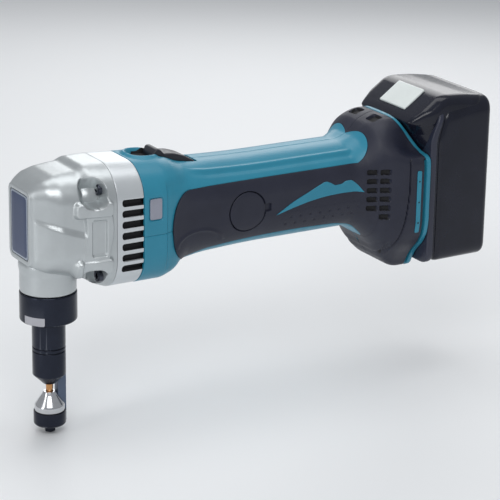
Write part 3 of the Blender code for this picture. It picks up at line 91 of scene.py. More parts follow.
# Numbers and curves ------------

def ease(value):
    """Smoothstep from 0 to 1."""
    value = np.clip(value, 0.0, 1.0)
    return value * value * (3 - 2 * value)


def smooth_through(knots, values, x):
    """Monotone cubic through the knots; each slope is the harmonic mean of the chords beside it."""
    knots, values = np.asarray(knots, float), np.asarray(values, float)
    gap = np.diff(knots)
    chord = np.diff(values) / gap
    slope = np.zeros(len(knots))
    before, after = chord[:-1], chord[1:]
    total = np.where(before * after > 0, before + after, 1.0)
    slope[1:-1] = np.where(before * after > 0, 2 * before * after / total, 0.0)
    slope[0], slope[-1] = chord[0], chord[-1]
    i = np.clip(np.searchsorted(knots, x, side="right") - 1, 0, len(gap) - 1)
    t = np.clip((x - knots[i]) / gap[i], 0.0, 1.0)
    rise = values[i + 1] - values[i]
    return (values[i] + rise * (3 * t**2 - 2 * t**3)
            + gap[i] * (slope[i] * t * (1 - t) ** 2 - slope[i + 1] * t**2 * (1 - t)))


def facets(knots, values, x, soft):
    """Straight runs between the knots, with each bend averaged over a window of +- soft."""
    offsets = np.linspace(-soft, soft, 9)
    return sum(np.interp(x + offset, knots, values) for offset in offsets) / len(offsets)


def box_distance(a, b, low, high, corner):
    """Signed distance in a plane to a rectangle with round corners, negative inside."""
    centre = (np.array(low) + np.array(high)) / 2
    half = (np.array(high) - np.array(low)) / 2 - corner
    da, db = np.abs(a - centre[0]) - half[0], np.abs(b - centre[1]) - half[1]
    outside = np.hypot(np.maximum(da, 0), np.maximum(db, 0))
    return outside + np.minimum(np.maximum(da, db), 0) - corner


def within(distance, soft):
    """1 inside a shape and 0 outside, with a soft wall."""
    return ease(0.5 - distance / (2 * soft))


# Meshes ------------

def grid_faces(rows, columns, wrap):
    """Quads of a grid; wrap joins the last column to the first."""
    i, j = np.meshgrid(np.arange(rows - 1), np.arange(columns if wrap else columns - 1), indexing="ij")
    k = (j + 1) % columns
    corners = (i * columns + j, (i + 1) * columns + j, (i + 1) * columns + k, i * columns + k)
    return np.stack(corners, -1).reshape(-1, 4)


def mesh_of(name, grids, sharp=32.0):
    """One object from grids of points: (points, wrap, slot numbers of the faces or 0)."""
    points, faces, slots = [], [], []
    first = 0
    for grid, wrap, slot in grids:
        rows, columns = grid.shape[:2]
        made = grid_faces(rows, columns, wrap)
        points.append(grid.reshape(-1, 3))
        faces.append(made + first)
        slots.append(np.broadcast_to(np.asarray(slot, int).ravel(), len(made)))
        first += rows * columns
    mesh = bpy.data.meshes.new(name)
    mesh.from_pydata((np.concatenate(points) * MM).tolist(), [], np.concatenate(faces).tolist())
    mesh.polygons.foreach_set("material_index", np.concatenate(slots).astype(np.int32))
    work = bmesh.new()
    work.from_mesh(mesh)
    bmesh.ops.remove_doubles(work, verts=work.verts, dist=MERGE * MM)
    bmesh.ops.dissolve_degenerate(work, edges=work.edges, dist=SLIVER * MM)
    bmesh.ops.recalc_face_normals(work, faces=work.faces)
    work.to_mesh(mesh)
    work.free()
    mesh.shade_smooth()
    mesh.set_sharp_from_angle(angle=math.radians(sharp))
    obj = bpy.data.objects.new(name, mesh)
    bpy.context.scene.collection.objects.link(obj)
    return obj


def add(name, grids, finishes, body, slot, *stands_for, sharp=32.0):
    """A finished piece: its mesh, its materials, the body it rides on and the nodes it stands for."""
    obj = mesh_of(name, grids, sharp)
    for finish in finishes:
        obj.data.materials.append(finish)
    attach(obj, body)
    if stands_for:
        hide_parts(*stands_for)
    return obj


def revolved(profile, segments=96):
    """A profile of (radius, height) turned about Z; its ends lie on the axis or meet."""
    radius, height = np.hsplit(np.asarray(profile, float), 2)
    turn = np.linspace(0, 2 * np.pi, segments, endpoint=False)
    return np.stack([radius * np.cos(turn), radius * np.sin(turn), height + 0 * turn], -1)


def bend(before, point, after, size, steps, most=0.45):
    """A quadratic curve round a corner, over size or the most of an edge on either side."""
    runs = [before - point, after - point]
    lengths = [np.linalg.norm(run) for run in runs]
    reach = min(size, most * lengths[0], most * lengths[1])
    start, end = (point + run / max(length, 1e-9) * reach for run, length in zip(runs, lengths))
    t = np.linspace(0, 1, steps + 1)[:, None]
    return start * (1 - t) ** 2 + 2 * point * t * (1 - t) + end * t**2


def bevelled(profile, size=0.4, steps=3):
    """An open profile with each inner corner rounded."""
    profile = np.asarray(profile, float)
    made = [bend(*three, size, steps) for three in zip(profile[:-2], profile[1:-1], profile[2:])]
    return np.concatenate([profile[:1], *made, profile[-1:]])


def rounded_loop(points, size, steps=4):
    """A closed outline with each corner rounded; size is one length, or one for each corner."""
    points = np.asarray(points, float)
    threes = zip(np.roll(points, 1, 0), points, np.roll(points, -1, 0), np.broadcast_to(size, len(points)))
    return np.concatenate([bend(*three, steps, 0.48) for three in threes])


def resampled(loop, count):
    """The same closed outline with evenly spaced points."""
    ring = np.concatenate([loop, loop[:1]])
    length = np.concatenate([[0], np.cumsum(np.hypot(*np.diff(ring, axis=0).T))])
    at = np.linspace(0, length[-1], count, endpoint=False)
    return np.stack([np.interp(at, length, ring[:, k]) for k in (0, 1)], -1)


def loop_normals(loop):
    """Outward unit normals of a closed outline, whichever way it runs."""
    tangent = np.roll(loop, -1, 0) - np.roll(loop, 1, 0)
    tangent /= np.maximum(np.hypot(*tangent.T), 1e-9)[:, None]
    normal = np.stack([tangent[:, 1], -tangent[:, 0]], -1)
    area = np.sum(loop[:, 0] * np.roll(loop[:, 1], -1) - np.roll(loop[:, 0], -1) * loop[:, 1])
    return normal if area > 0 else -normal


BROAD = 6.0  # a larger end radius shrinks the outline towards its centre


def pillow(loop, low, high, radius, along="Y", sections=5, count=160):
    """A flat outline carried along an axis, its end edges rounded: near an end the outline shrinks
    by the fall of a quarter circle, along its normals or, for a large radius, towards its centre.
    Both ends close on the centre."""
    loop = resampled(np.asarray(loop, float), count)
    normal = loop_normals(loop)
    if radius > BROAD:
        spread = loop - loop.mean(0)
        normal = spread / np.hypot(*spread.T).mean()
    turn = np.linspace(0, np.pi / 2, sections)
    run, shrink = radius * (1 - np.cos(turn)), radius * (1 - np.sin(turn))
    at = np.concatenate([low + run, np.linspace(low + radius, high - radius, 3)[1:-1], high - run[::-1]])
    inset = np.concatenate([shrink, [0.0], shrink[::-1]])
    rings = loop[None] - normal[None] * inset[:, None, None]
    centre = np.broadcast_to(loop.mean(0), loop.shape)
    inner = [centre + (ring - centre) * 0.6 for ring in (rings[0], rings[-1])]
    rings = np.concatenate([[centre, inner[0]], rings, [inner[1], centre]])
    at = np.concatenate([[low, low], at, [high, high]])
    position = np.broadcast_to(at[:, None], rings.shape[:2])
    a, b = rings[..., 0], rings[..., 1]
    parts = {"X": (position, a, b), "Y": (a, position, b), "Z": (a, b, position)}[along]
    return np.stack(parts, -1)


# Finishes ------------

def node(tree, kind, **inputs):
    """A new shader node with these inputs; an underscore stands for a space."""
    made = tree.nodes.new(kind)
    for name, value in inputs.items():
        made.inputs[name.replace("_", " ")].default_value = value
    return made


def finish(name, colour, roughness, metallic=0.0, spread=0.06, tint=0.05, grain=1800.0, bump=0.02,
           cloud=60.0, coat=0.0, specular=0.5, stretch=(1, 1, 1), worn=None):
    """A moulded, cast or machined finish. Slow clouds shift its colour, fine grain varies its roughness and
    raises it, and worn, if given, is the colour that rubbed edges show."""
    made = bpy.data.materials.new(name)
    made.use_nodes = True
    tree = made.node_tree
    shader = tree.nodes["Principled BSDF"]
    shader.inputs["Metallic"].default_value = metallic
    shader.inputs["Specular IOR Level"].default_value = specular
    shader.inputs["Coat Weight"].default_value = coat
    shader.inputs["Coat Roughness"].default_value = 0.12
    link = tree.links.new
    where = tree.nodes.new("ShaderNodeTexCoord")
    mapping = node(tree, "ShaderNodeMapping", Scale=stretch)
    link(where.outputs["Object"], mapping.inputs["Vector"])
    clouds = node(tree, "ShaderNodeTexNoise", Scale=cloud, Detail=4.0, Roughness=0.6)
    grains = node(tree, "ShaderNodeTexNoise", Scale=grain, Detail=5.0, Roughness=0.65)
    for texture in (clouds, grains):
        link(mapping.outputs["Vector"], texture.inputs["Vector"])
    ramp = tree.nodes.new("ShaderNodeValToRGB")
    dark = [c * (1 - tint) for c in colour]
    light = [min(1.0, c * (1 + tint) + 0.002) for c in colour]
    ramp.color_ramp.elements[0].color = (*dark, 1)
    ramp.color_ramp.elements[1].color = (*light, 1)
    ramp.color_ramp.elements[0].position, ramp.color_ramp.elements[1].position = 0.3, 0.7
    link(clouds.outputs["Fac"], ramp.inputs["Fac"])
    colour_out = ramp.outputs["Color"]
    if worn:
        geometry = tree.nodes.new("ShaderNodeNewGeometry")
        edge = node(tree, "ShaderNodeMapRange", From_Min=0.53, From_Max=0.60)
        link(geometry.outputs["Pointiness"], edge.inputs["Value"])
        patchy = tree.nodes.new("ShaderNodeMath")
        patchy.operation = "MULTIPLY"
        link(edge.outputs["Result"], patchy.inputs[0])
        link(clouds.outputs["Fac"], patchy.inputs[1])
        mix = tree.nodes.new("ShaderNodeMix")
        mix.data_type = "RGBA"
        link(patchy.outputs["Value"], mix.inputs["Factor"])
        link(colour_out, mix.inputs["A"])
        mix.inputs["B"].default_value = (*worn, 1)
        colour_out = mix.outputs["Result"]
    link(colour_out, shader.inputs["Base Color"])
    rough = node(tree, "ShaderNodeMapRange", To_Min=max(0.02, roughness - spread), To_Max=roughness + spread)
    link(grains.outputs["Fac"], rough.inputs["Value"])
    link(rough.outputs["Result"], shader.inputs["Roughness"])
    raise_ = node(tree, "ShaderNodeBump", Strength=bump, Distance=0.001)
    link(grains.outputs["Fac"], raise_.inputs["Height"])
    link(raise_.outputs["Normal"], shader.inputs["Normal"])
    made.diffuse_color = (*colour, 1)
    return made


CAST = finish("cast_silver", (0.50, 0.53, 0.54), 0.34, 0.72, grain=1500, bump=0.10, worn=(0.8, 0.8, 0.8))
SATIN = finish("satin_silver", (0.62, 0.65, 0.67), 0.38, 0.6, bump=0.06, tint=0.03)
TEAL = finish("teal_plastic", (0.022, 0.225, 0.335), 0.36, grain=1300, bump=0.05, specular=0.45, tint=0.04)
RUBBER = finish("grip_rubber", (0.014, 0.016, 0.032), 0.46, grain=2200, bump=0.16, specular=0.42, tint=0.10)
# Painted shade: flat black for slots, vents, the lug hole and the hollow behind the skins, standing in for
# the shade inside them
PAINTED_SHADE_BLACK = finish("painted_shade_black", (0.004, 0.004, 0.006), 0.7, grain=900, bump=0.03)
SWITCH = finish("switch_black", (0.014, 0.015, 0.022), 0.36, bump=0.08)
OXIDE = finish("black_oxide", (0.018, 0.022, 0.036), 0.26, 0.75, grain=1200, bump=0.03, tint=0.12,
               worn=(0.16, 0.17, 0.2))
STRUT = finish("strut_steel", (0.10, 0.13, 0.19), 0.35, 0.6, grain=1600)
GROUND = finish("ground_steel", (0.60, 0.61, 0.63), 0.17, 1.0, grain=2500, stretch=(1, 1, 9))
BRONZE = finish("punch_bronze", (0.60, 0.30, 0.12), 0.26, 0.95, grain=2200)
STEEL = finish("machined_steel", (0.42, 0.42, 0.45), 0.32, 0.95, grain=2000, bump=0.03, stretch=(8, 1, 1))
BEARING = finish("bearing_steel", (0.60, 0.60, 0.62), 0.2, 1.0, grain=2000, bump=0.01)
SLATE = finish("nose_plate_slate", (0.028, 0.048, 0.115), 0.34, 0.1, grain=1500, bump=0.03)
PLATE_EDGE = finish("nose_plate_edge", (0.34, 0.38, 0.45), 0.28, 0.6, grain=1500)
LENS = finish("lens_grey", (0.26, 0.27, 0.33), 0.22, grain=900, bump=0.01, coat=0.6)
BATTERY = finish("battery_black", (0.006, 0.0075, 0.017), 0.19, grain=1600, coat=0.06,
                 specular=0.34, tint=0.15)
BATTERY_SATIN = finish("battery_satin", (0.022, 0.025, 0.046), 0.34, bump=0.10)
BUTTON = finish("button_white", (0.70, 0.745, 0.73), 0.34, grain=1700, bump=0.04, tint=0.02)
PLASTIC = finish("inner_plastic", (0.035, 0.035, 0.04), 0.48, grain=1500, bump=0.06)
IRON = finish("lamination_iron", (0.18, 0.18, 0.19), 0.5, 0.7, bump=0.08, stretch=(12, 1, 1))
COPPER = finish("commutator_copper", (0.60, 0.28, 0.14), 0.28, 1.0, bump=0.03)
FERRITE = finish("magnet_ferrite", (0.06, 0.06, 0.065), 0.6, grain=1300, bump=0.08)
BRASS = finish("terminal_brass", (0.60, 0.45, 0.20), 0.24, 1.0)
BOARD = finish("circuit_green", (0.012, 0.11, 0.05), 0.38, grain=1200, bump=0.05)
CELL = finish("cell_wrap", (0.03, 0.16, 0.10), 0.3, grain=900, coat=0.4)
SINTERED = finish("sleeve_bronze", (0.46, 0.33, 0.15), 0.42, 0.9, grain=2600, bump=0.08)

NODE_FINISHES = {
    "bearing": BEARING, "bearing_bracket": CAST, "bearing_holder": PLASTIC, "ram_sleeve": SINTERED,
    "motor_yoke": STEEL, "magnet": FERRITE, "carbon_brush": FERRITE, "control_board": BOARD,
    "terminal_blade": BRASS, "case_screw": OXIDE, "ram": STEEL, "wrist_pin": STEEL,
    "connecting_rod": STEEL, "crankshaft": STEEL, "crank_gear": STEEL, "armature_shaft": STEEL,
    "armature_core": IRON, "commutator": COPPER, "cell_pair": CELL,
}


def finish_nodes():
    """Gives each node left as it is the finish whose key is the longest part of its name, or plastic."""
    for name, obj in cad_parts.items():
        fitting = [key for key in NODE_FINISHES if key in name]
        chosen = NODE_FINISHES[max(fitting, key=len)] if fitting else PLASTIC
        obj.data.materials.clear()
        obj.data.materials.append(chosen)


# The body's skin ------------

STATIONS = np.array([FRONT_X, FRONT_X + 15.7, FRONT_X + 24, FRONT_X + 35, GRIP_X, GRIP_X + 40, GRIP_END,
                     GRIP_END + 9, GRIP_END + 19, GRIP_END + 31, GRIP_END + 43, FLANGE_X])
HALF_WIDTHS = [31.0, 31.0, 29.4, 27.6, 26.8, 26.8, 26.8, 28.5, 32.4, 36.4, 38.2, 38.4]
TOPS = [39.8, 39.0, 37.8, 33.8, 31.6, 30.5, 30.5, 33.0, 41.5, 45.2, 46.0, 46.0]
BOTTOMS = [38.2, 38.2, 36.6, 29.8, 27.4, 26.0, 26.0, 28.6, 36.0, 45.5, 53.5, 58.0]
CORNER = 22.0
REAR_POINTS = [(0, 46), (12, 45.6), (18.5, 43), (22.5, 37), (24.4, 29.5), (26.5, 24.6), (31, 22.4),
               (35.6, 21.8), (38.1, 19.4), (38.5, 15), (38.5, -22), (37, -31), (33, -38), (26, -45),
               (21.5, -52), (19.5, -56.5), (16, -58), (0, -58)]


def girth(width, top, bottom, corner=CORNER):
    """Half the way round a section with round corners."""
    return 2 * (width - corner) + math.pi * corner + (top + bottom - 2 * corner)


def section(width, top, bottom, corner, share):
    """(y, z, angle of the normal from +Z) on half a section. Share 0 is the ridge and 1 the keel: a
    straight run, a quarter circle, a straight side, a quarter circle and a straight run."""
    walked = share * girth(width, top, bottom, corner)
    first = width - corner
    second = first + corner * math.pi / 2
    third = second + top + bottom - 2 * corner
    fourth = third + corner * math.pi / 2
    upper, lower = (walked - first) / corner, (walked - third) / corner
    parts = [walked < first, walked < second, walked < third, walked < fourth]
    y = np.select(parts, [walked, first + corner * np.sin(upper), width, first + corner * np.cos(lower)],
                  first - (walked - fourth))
    z = np.select(parts, [top, top - corner + corner * np.cos(upper), top - corner - (walked - second),
                          corner - bottom - corner * np.sin(lower)], -bottom)
    return y, z, np.select(parts, [0, upper, math.pi / 2, math.pi / 2 + lower], math.pi)


def rear_table():
    """The rear plate's outline, evenly spaced and softened over its bends."""
    points = np.array(REAR_POINTS, float)
    length = np.concatenate([[0], np.cumsum(np.hypot(*np.diff(points, axis=0).T))])
    at = np.linspace(0, length[-1], 301)
    even = np.stack([np.interp(at, length, points[:, k]) for k in (0, 1)])
    padded = np.pad(even, ((0, 0), (4, 4)), mode="edge")
    soft = np.stack([np.convolve(row, np.ones(9) / 9, "valid") for row in padded])
    soft[:, 0], soft[:, -1] = even[:, 0], even[:, -1]
    return soft


REAR_TABLE = rear_table()


def sizes_at(x):
    """Half width, and heights above and below the motor's axis."""
    return tuple(smooth_through(STATIONS, row, x) for row in (HALF_WIDTHS, TOPS, BOTTOMS))


def outline(x, share):
    """(y, z) of the left half of the section at x, which turns into the rear plate's outline along
    the flare. A share below 0 or over 1 runs on into the right half."""
    x, share = np.broadcast_arrays(np.asarray(x, float), np.asarray(share, float))
    beyond = np.where((share < 0) | (share > 1), -1.0, 1.0)
    s = np.where(share > 1, 2 - share, np.abs(share))
    y, z = section(*sizes_at(x), CORNER, s)[:2]
    blend = ease((x - (GRIP_END + 16)) / (FLANGE_X - 8 - (GRIP_END + 16)))
    at = np.linspace(0, 1, REAR_TABLE.shape[1])
    y = y + blend * (np.interp(s, at, REAR_TABLE[0]) - y)
    z = z + blend * (np.interp(s, at, REAR_TABLE[1]) - z)
    return -beyond * y, z + AXIS_Z


def skin(x, share, lift, side):
    """The body's surface, moved out along the section's normal by lift. Side mirrors it."""
    y, z = outline(x, share)
    after, before = outline(x, share + STEP), outline(x, share - STEP)
    ty, tz = after[0] - before[0], after[1] - before[1]
    length = np.maximum(np.hypot(ty, tz), 1e-9)
    y, z = y + tz / length * lift, z - ty / length * lift
    y = np.minimum(y, -0.06)
    return np.stack(np.broadcast_arrays(np.asarray(x, float), -side * y, z), -1)


SHARES = np.linspace(0, 1, 401)


def share_at(x, height):
    """Where the outline at x passes a height above the motor's axis."""
    x, height = np.broadcast_arrays(np.asarray(x, float), np.asarray(height, float))
    shape, x, height = x.shape, x.ravel(), height.ravel() + AXIS_Z
    table = outline(x[:, None], SHARES[None])[1]
    table = np.minimum.accumulate(table, axis=1) - SHARES * 1e-6
    k = np.clip(np.argmax(table < height[:, None], axis=1), 1, len(SHARES) - 1)
    rows = np.arange(len(x))
    above, below = table[rows, k - 1], table[rows, k]
    part = np.clip((above - height) / np.maximum(above - below, 1e-9), 0, 1)
    found = (k - 1 + part) / (len(SHARES) - 1)
    return np.where(height < table[:, -1], 1.0, found).reshape(shape)  # 1 under the keel


# A rolled rim: places in from an edge, and how far the skin lies below its surface there
RIM_AT = np.array([0.0, 0.0, 0.12, 0.40, 0.9])
RIM_LIFT = np.array([BASE, -0.45, -0.13, 0.0, 0.0])


def across(width, count, first=True, last=True):
    """Places across a strip of this width, and their lifts, with a rolled rim on the chosen edges."""
    width = np.asarray(width, float)[..., None]
    squeeze = np.minimum(1.0, width / (2.2 * RIM_AT[-1]))
    start, end = RIM_AT * squeeze, width - RIM_AT[::-1] * squeeze
    t = np.linspace(0, 1, count)[1:-1]
    middle = start[..., -1:] + (end[..., :1] - start[..., -1:]) * t
    lift = np.concatenate([RIM_LIFT * first, 0 * t, RIM_LIFT[::-1] * last])
    return np.concatenate([start, middle, end], -1), lift


def rows_along(start, end, count, first=True, last=True, bunch=0.0):
    """Places along X with rolled rims; bunch crowds them towards the start."""
    t = np.linspace(0, 1, count)
    t = t * (1 - bunch) + bunch * (1 - np.cos(t * math.pi / 2))
    inner = start + (end - start) * t
    head = start + RIM_AT[:-1] if first else np.empty(0)
    tail = end - RIM_AT[:-1][::-1] if last else np.empty(0)
    keep = (inner > start + RIM_AT[-2] * first) & (inner < end - RIM_AT[-2] * last)
    keep = keep | (not first) & (inner <= start + 1e-9) | (not last) & (inner >= end - 1e-9)
    lift = np.concatenate([RIM_LIFT[:len(head)], 0 * inner[keep], RIM_LIFT[:len(tail)][::-1]])
    return np.concatenate([head, inner[keep], tail]), lift


def strip(x, x_lift, top, bottom, count, side, relief, rims=(True, True), shade_below=None):
    """A raised patch of skin between two edges, given as shares for each x, with its inner face."""
    girths = girth(*sizes_at(x))
    at, lift = across((bottom - top) * girths, count, *rims)
    share = top[:, None] + at / girths[:, None]
    x = x[:, None] + 0 * share
    lift = np.minimum(x_lift[:, None], lift[None, :])
    return skin_pair(x, share, lift, side, relief, shade_below)


def skin_pair(x, share, lift, side, relief, shade_below=None):
    """Outer and inner sheets over the same grid; they meet where the lift is at the rim's depth.
    Faces that the relief sinks below the given depth, if one is given, take the second finish, a black
    painted in as the shade of the hollows."""
    points = skin(x, share, 0.0, -1.0)
    change = relief(points[..., 0], points[..., 1], points[..., 2] - AXIS_Z) * (lift > BASE + 0.1)
    # Painted shade: the mask of sunk faces that take the black finish
    slots = 0 if shade_below is None else (change < shade_below)[:-1, :-1]
    outer = skin(x, share, lift + change, side)
    inner = skin(x, share, np.minimum(BASE, lift + change - 1.2 * (lift > BASE + 0.1)), side)
    return [(outer, False, slots), (inner, False, slots)]


# Edges of the soft cover, as heights above the motor's axis ------------

COVER_FRONT, COVER_REAR = GRIP_X - 33.3, FLANGE_X - 5.0
COVER_TOP = 20.0
LOBE_X = GRIP_END - 2.0


def cover_top(x):
    """Top edge: a quarter of an oval at the front, then level."""
    rise = np.clip((x - COVER_FRONT) / 14.0, 0, 1)
    return -4.0 + (COVER_TOP + 4.0) * np.sqrt(1 - (1 - rise) ** 2.2)


def cover_bottom(x):
    """Bottom edge: round at the front, then rising and falling again along the grip to the keel."""
    knots = COVER_FRONT + np.array([0, 1, 3, 6, 10, 16, 30, 60, 90, 120, 136, 146, 154, 160])
    values = np.array([-4, -13, -18.5, -22.5, -25.4, -24.6, -21.6, -19.2, -18.4, -19.4, -23, -30, -40, -60])
    return smooth_through(knots, values, x)


TIP_X = COVER_FRONT + 158.0
REAR_SHARE = 0.40  # of the rear outline, where the cover's top edge meets it


def lobe_end(f):
    """Where the upper teal band ends: f is 0 on the ridge and 1 on the cover's top edge."""
    bulge = np.sqrt(np.clip(1 - ((f - 0.45) / 0.62) ** 2, 0, 1))
    return LOBE_X + 3.0 + 13.0 * bulge - 3.0 * f**4


def rim_end(share):
    """Where the body ends at a share of the rear outline: on the slanted opening or the rear plate."""
    height = np.interp(share, np.linspace(0, 1, REAR_TABLE.shape[1]), REAR_TABLE[1])
    return np.minimum(FLANGE_X, SLOPE_HEAD_X + (SLOPE_HEAD - height) * SLOPE_RUN / (SLOPE_HEAD - SLOPE_FOOT))


def rear_frame(side):
    """Rim and rear plate in one sheet: from under the soft cover over the rim, down the plate to the
    rail slot's neck, along its walls and across its floor to the middle."""
    share = np.linspace(0, 1, 300)
    end = rim_end(share)
    rows = [skin(end - RIM_WIDE - 0.8, share, -3.2, side)]
    for back, lift in ((RIM_WIDE - 0.25, BASE), (RIM_WIDE - 0.3, -0.5), (RIM_WIDE - 0.5, -0.1),
                       (RIM_WIDE - 0.9, 0.1), (3.0, 0.15), (2.0, 0.15), (0.9, 0.1), (0.4, 0.0), (0.1, -0.25),
                       (0.0, -0.6), (0.0, -1.6)):
        rows.append(skin(end - back, share, lift, side))
    plate = rows[-1]
    height = plate[:, 2] - AXIS_Z
    arch = height > SLOPE_FOOT
    foot = AXIS_Z + SLOPE_FOOT
    wall = foot - SLOT_FLOOR
    walked = np.clip((SLOPE_FOOT - height) / (SLOPE_FOOT + BOTTOMS[-1]), 0, 1) * (wall + NECK_HALF)
    neck_x = FLANGE_X - NECK_DEEP
    for half, x_to in ((NECK_HALF, FLANGE_X), (NECK_HALF, neck_x), (RAIL_HALF, neck_x), (RAIL_HALF, RAIL_X)):
        y = np.where(walked < wall, half, half * (1 - (walked - wall) / NECK_HALF))
        y = np.where(arch, np.minimum(np.abs(plate[:, 1]) * 0.86, half), y)
        z = np.where(arch, plate[:, 2] - 2.4, np.maximum(foot - walked, SLOT_FLOOR))
        under_arch = plate[:, 0] - 0.6 if x_to > RAIL_X else np.minimum(plate[:, 0], RAIL_X)
        rows.append(np.stack([np.where(arch, under_arch, x_to), side * y, z], -1))
    last = rows[-1].copy()
    last[:, 1] = 0.0
    rows.append(last)
    return (np.stack(rows), False, 0)


def teal_relief(x, y, height):
    """Bead along the grip's shoulder, the switch's slot with its collar, and the lens's pocket."""
    change = 0.0 * x
    along = ease((x - GRIP_X + 20) / 14) * ease((GRIP_END + 5 - x) / 5)
    out = -y - 17.2
    bead = 0.75 * np.exp(-((out / 1.1) ** 2)) - 0.55 * np.exp(-(((out - 2.6) / 1.2) ** 2))
    change += along * bead * (height > 5)
    upper = height > 20
    well = box_distance(x, y, (LEVER_LOW[0] - 13.0, -8.4), (LEVER_LOW[0] + 2.0, 8.4), 6.5)
    change += upper * (1.5 * np.exp(-(((well - 1.6) / 1.7) ** 2)) - 2.4 * within(well, 1.4))
    slot = box_distance(x, y, (LEVER_LOW[0] - 7.8, LEVER_LOW[1] - 0.5), (LEVER_HIGH[0] + 0.6, 7.7), 0.8)
    floor = LEVER_LOW[2] - AXIS_Z - 0.6 - height
    change = np.where(upper & (slot < 0.35), change + (floor - change) * within(slot, 0.35), change)
    lens = box_distance(x, height, (LENS_LOW[0] - 0.7, LENS_ABOVE[0] - 0.7),
                        (LENS_HIGH[0] + 0.7, LENS_ABOVE[1] + 0.7), 1.6)
    change -= 0.9 * within(lens, 0.35) * (y < -20)
    block = ease((x - FRONT_X - 15.4) / 1.2)
    change -= 1.1 * block * ease((GRIP_X - 12 - x) / 14) * ease((30 - np.abs(height)) / 6)
    return change


BRUSH_X = (BRUSH_LOW[0] + BRUSH_HIGH[0]) / 2
BRUSH_R = (BRUSH_HIGH[0] - BRUSH_LOW[0]) / 2
VENT_X = (GRIP_END + 12.6, GRIP_END + 20.4)
VENT_TOP = 13.8
VENT_PITCH, DIMPLE_PITCH = 6.0, 7.2
SEAM_X = FLANGE_X - 15.5


def vent_pits(x, height):
    """Distance to the nearest of the rear vents: two columns of six, the last of one column only."""
    distance = 99.0 + 0 * x
    for column, vent_x in enumerate(VENT_X):
        for row in range(6):
            if column == 0 and row == 5:
                continue
            z = VENT_TOP - row * VENT_PITCH
            pit = box_distance(x, height, (vent_x - 3.0, z - 1.5), (vent_x + 3.0, z + 1.5), 0.5)
            distance = np.minimum(distance, pit)
    return distance


def cover_relief(x, y, height):
    """Brush cover's pocket and notch, finger swell, vents, dimples, seam, ribs and the arch's lug hole."""
    change = 0.0 * x
    side = y < -12
    radius = np.hypot(x - BRUSH_X, height)
    change -= 1.5 * within(radius - BRUSH_R - 0.55, 0.22) * side
    notch = box_distance(x, height, (BRUSH_X + BRUSH_R - 0.2, -1.6), (BRUSH_X + BRUSH_R + 4.4, 3.2), 0.5)
    change = np.minimum(change, -1.5 * within(notch, 0.25) * side)
    oval = np.hypot((x - COVER_FRONT - 20) / 17, (height + 16) / 9)
    change += 0.7 * np.exp(-(((oval - 1) / 0.10) ** 2)) * (height > -16) * side
    change -= 2.6 * within(vent_pits(x, height), 0.2) * side
    column, row = (x - BRUSH_X - 25) / DIMPLE_PITCH, (height + 8) / 4.6
    off = (column - 0.5 * (np.round(row) % 2) + 0.5) % 1 - 0.5
    near = np.hypot(off, (row - np.round(row)) * 0.64) * DIMPLE_PITCH
    field = ease((x - BRUSH_X - 24) / 3) * ease((GRIP_END + 6 - x) / 3)
    field *= ease((-3 - height) / 2) * ease((height + 17) / 2)
    change -= 0.5 * within(near - 0.8, 0.35) * field * side
    curve = SEAM_X - 0.0035 * np.clip(8 - height, 0, 99) ** 2 * (height < 8)
    seam = np.abs(x - curve) - 0.55
    change -= 1.3 * within(seam, 0.3) * (height < 21) * side
    ribs = np.sin((x - GRIP_END) * 2 * math.pi / 4.6) * ease((-34 - height) / 3)
    change += 0.8 * ribs * ease((x - GRIP_END - 20) / 4) * ease((SEAM_X - 6 - x) / 4)
    lug = box_distance(x, -y, (GRIP_END + 21.5, 6.0), (GRIP_END + 28.5, 14.4), 0.8)
    change -= 2.6 * within(lug, 0.25) * (height > 30)
    return change


def top_patch(start_of, end_of, length, counts, first, last, side, relief, shade_below=None):
    """Skin above the cover's top edge, between two curves: they give X at each share f of the way from
    the ridge down to that edge, and the rows divide the run between them evenly."""
    f, f_lift = across(50.0, counts[0], last=last)
    f = f / 50.0
    u, u_lift = rows_along(0.0, length, counts[1], first=first)
    start, end = start_of(f), end_of(f)
    grid_x = start + (u / length)[:, None] * (end - start)
    share = f * share_at(grid_x, COVER_TOP)
    return skin_pair(grid_x, share, np.minimum(u_lift[:, None], f_lift), side, relief, shade_below)


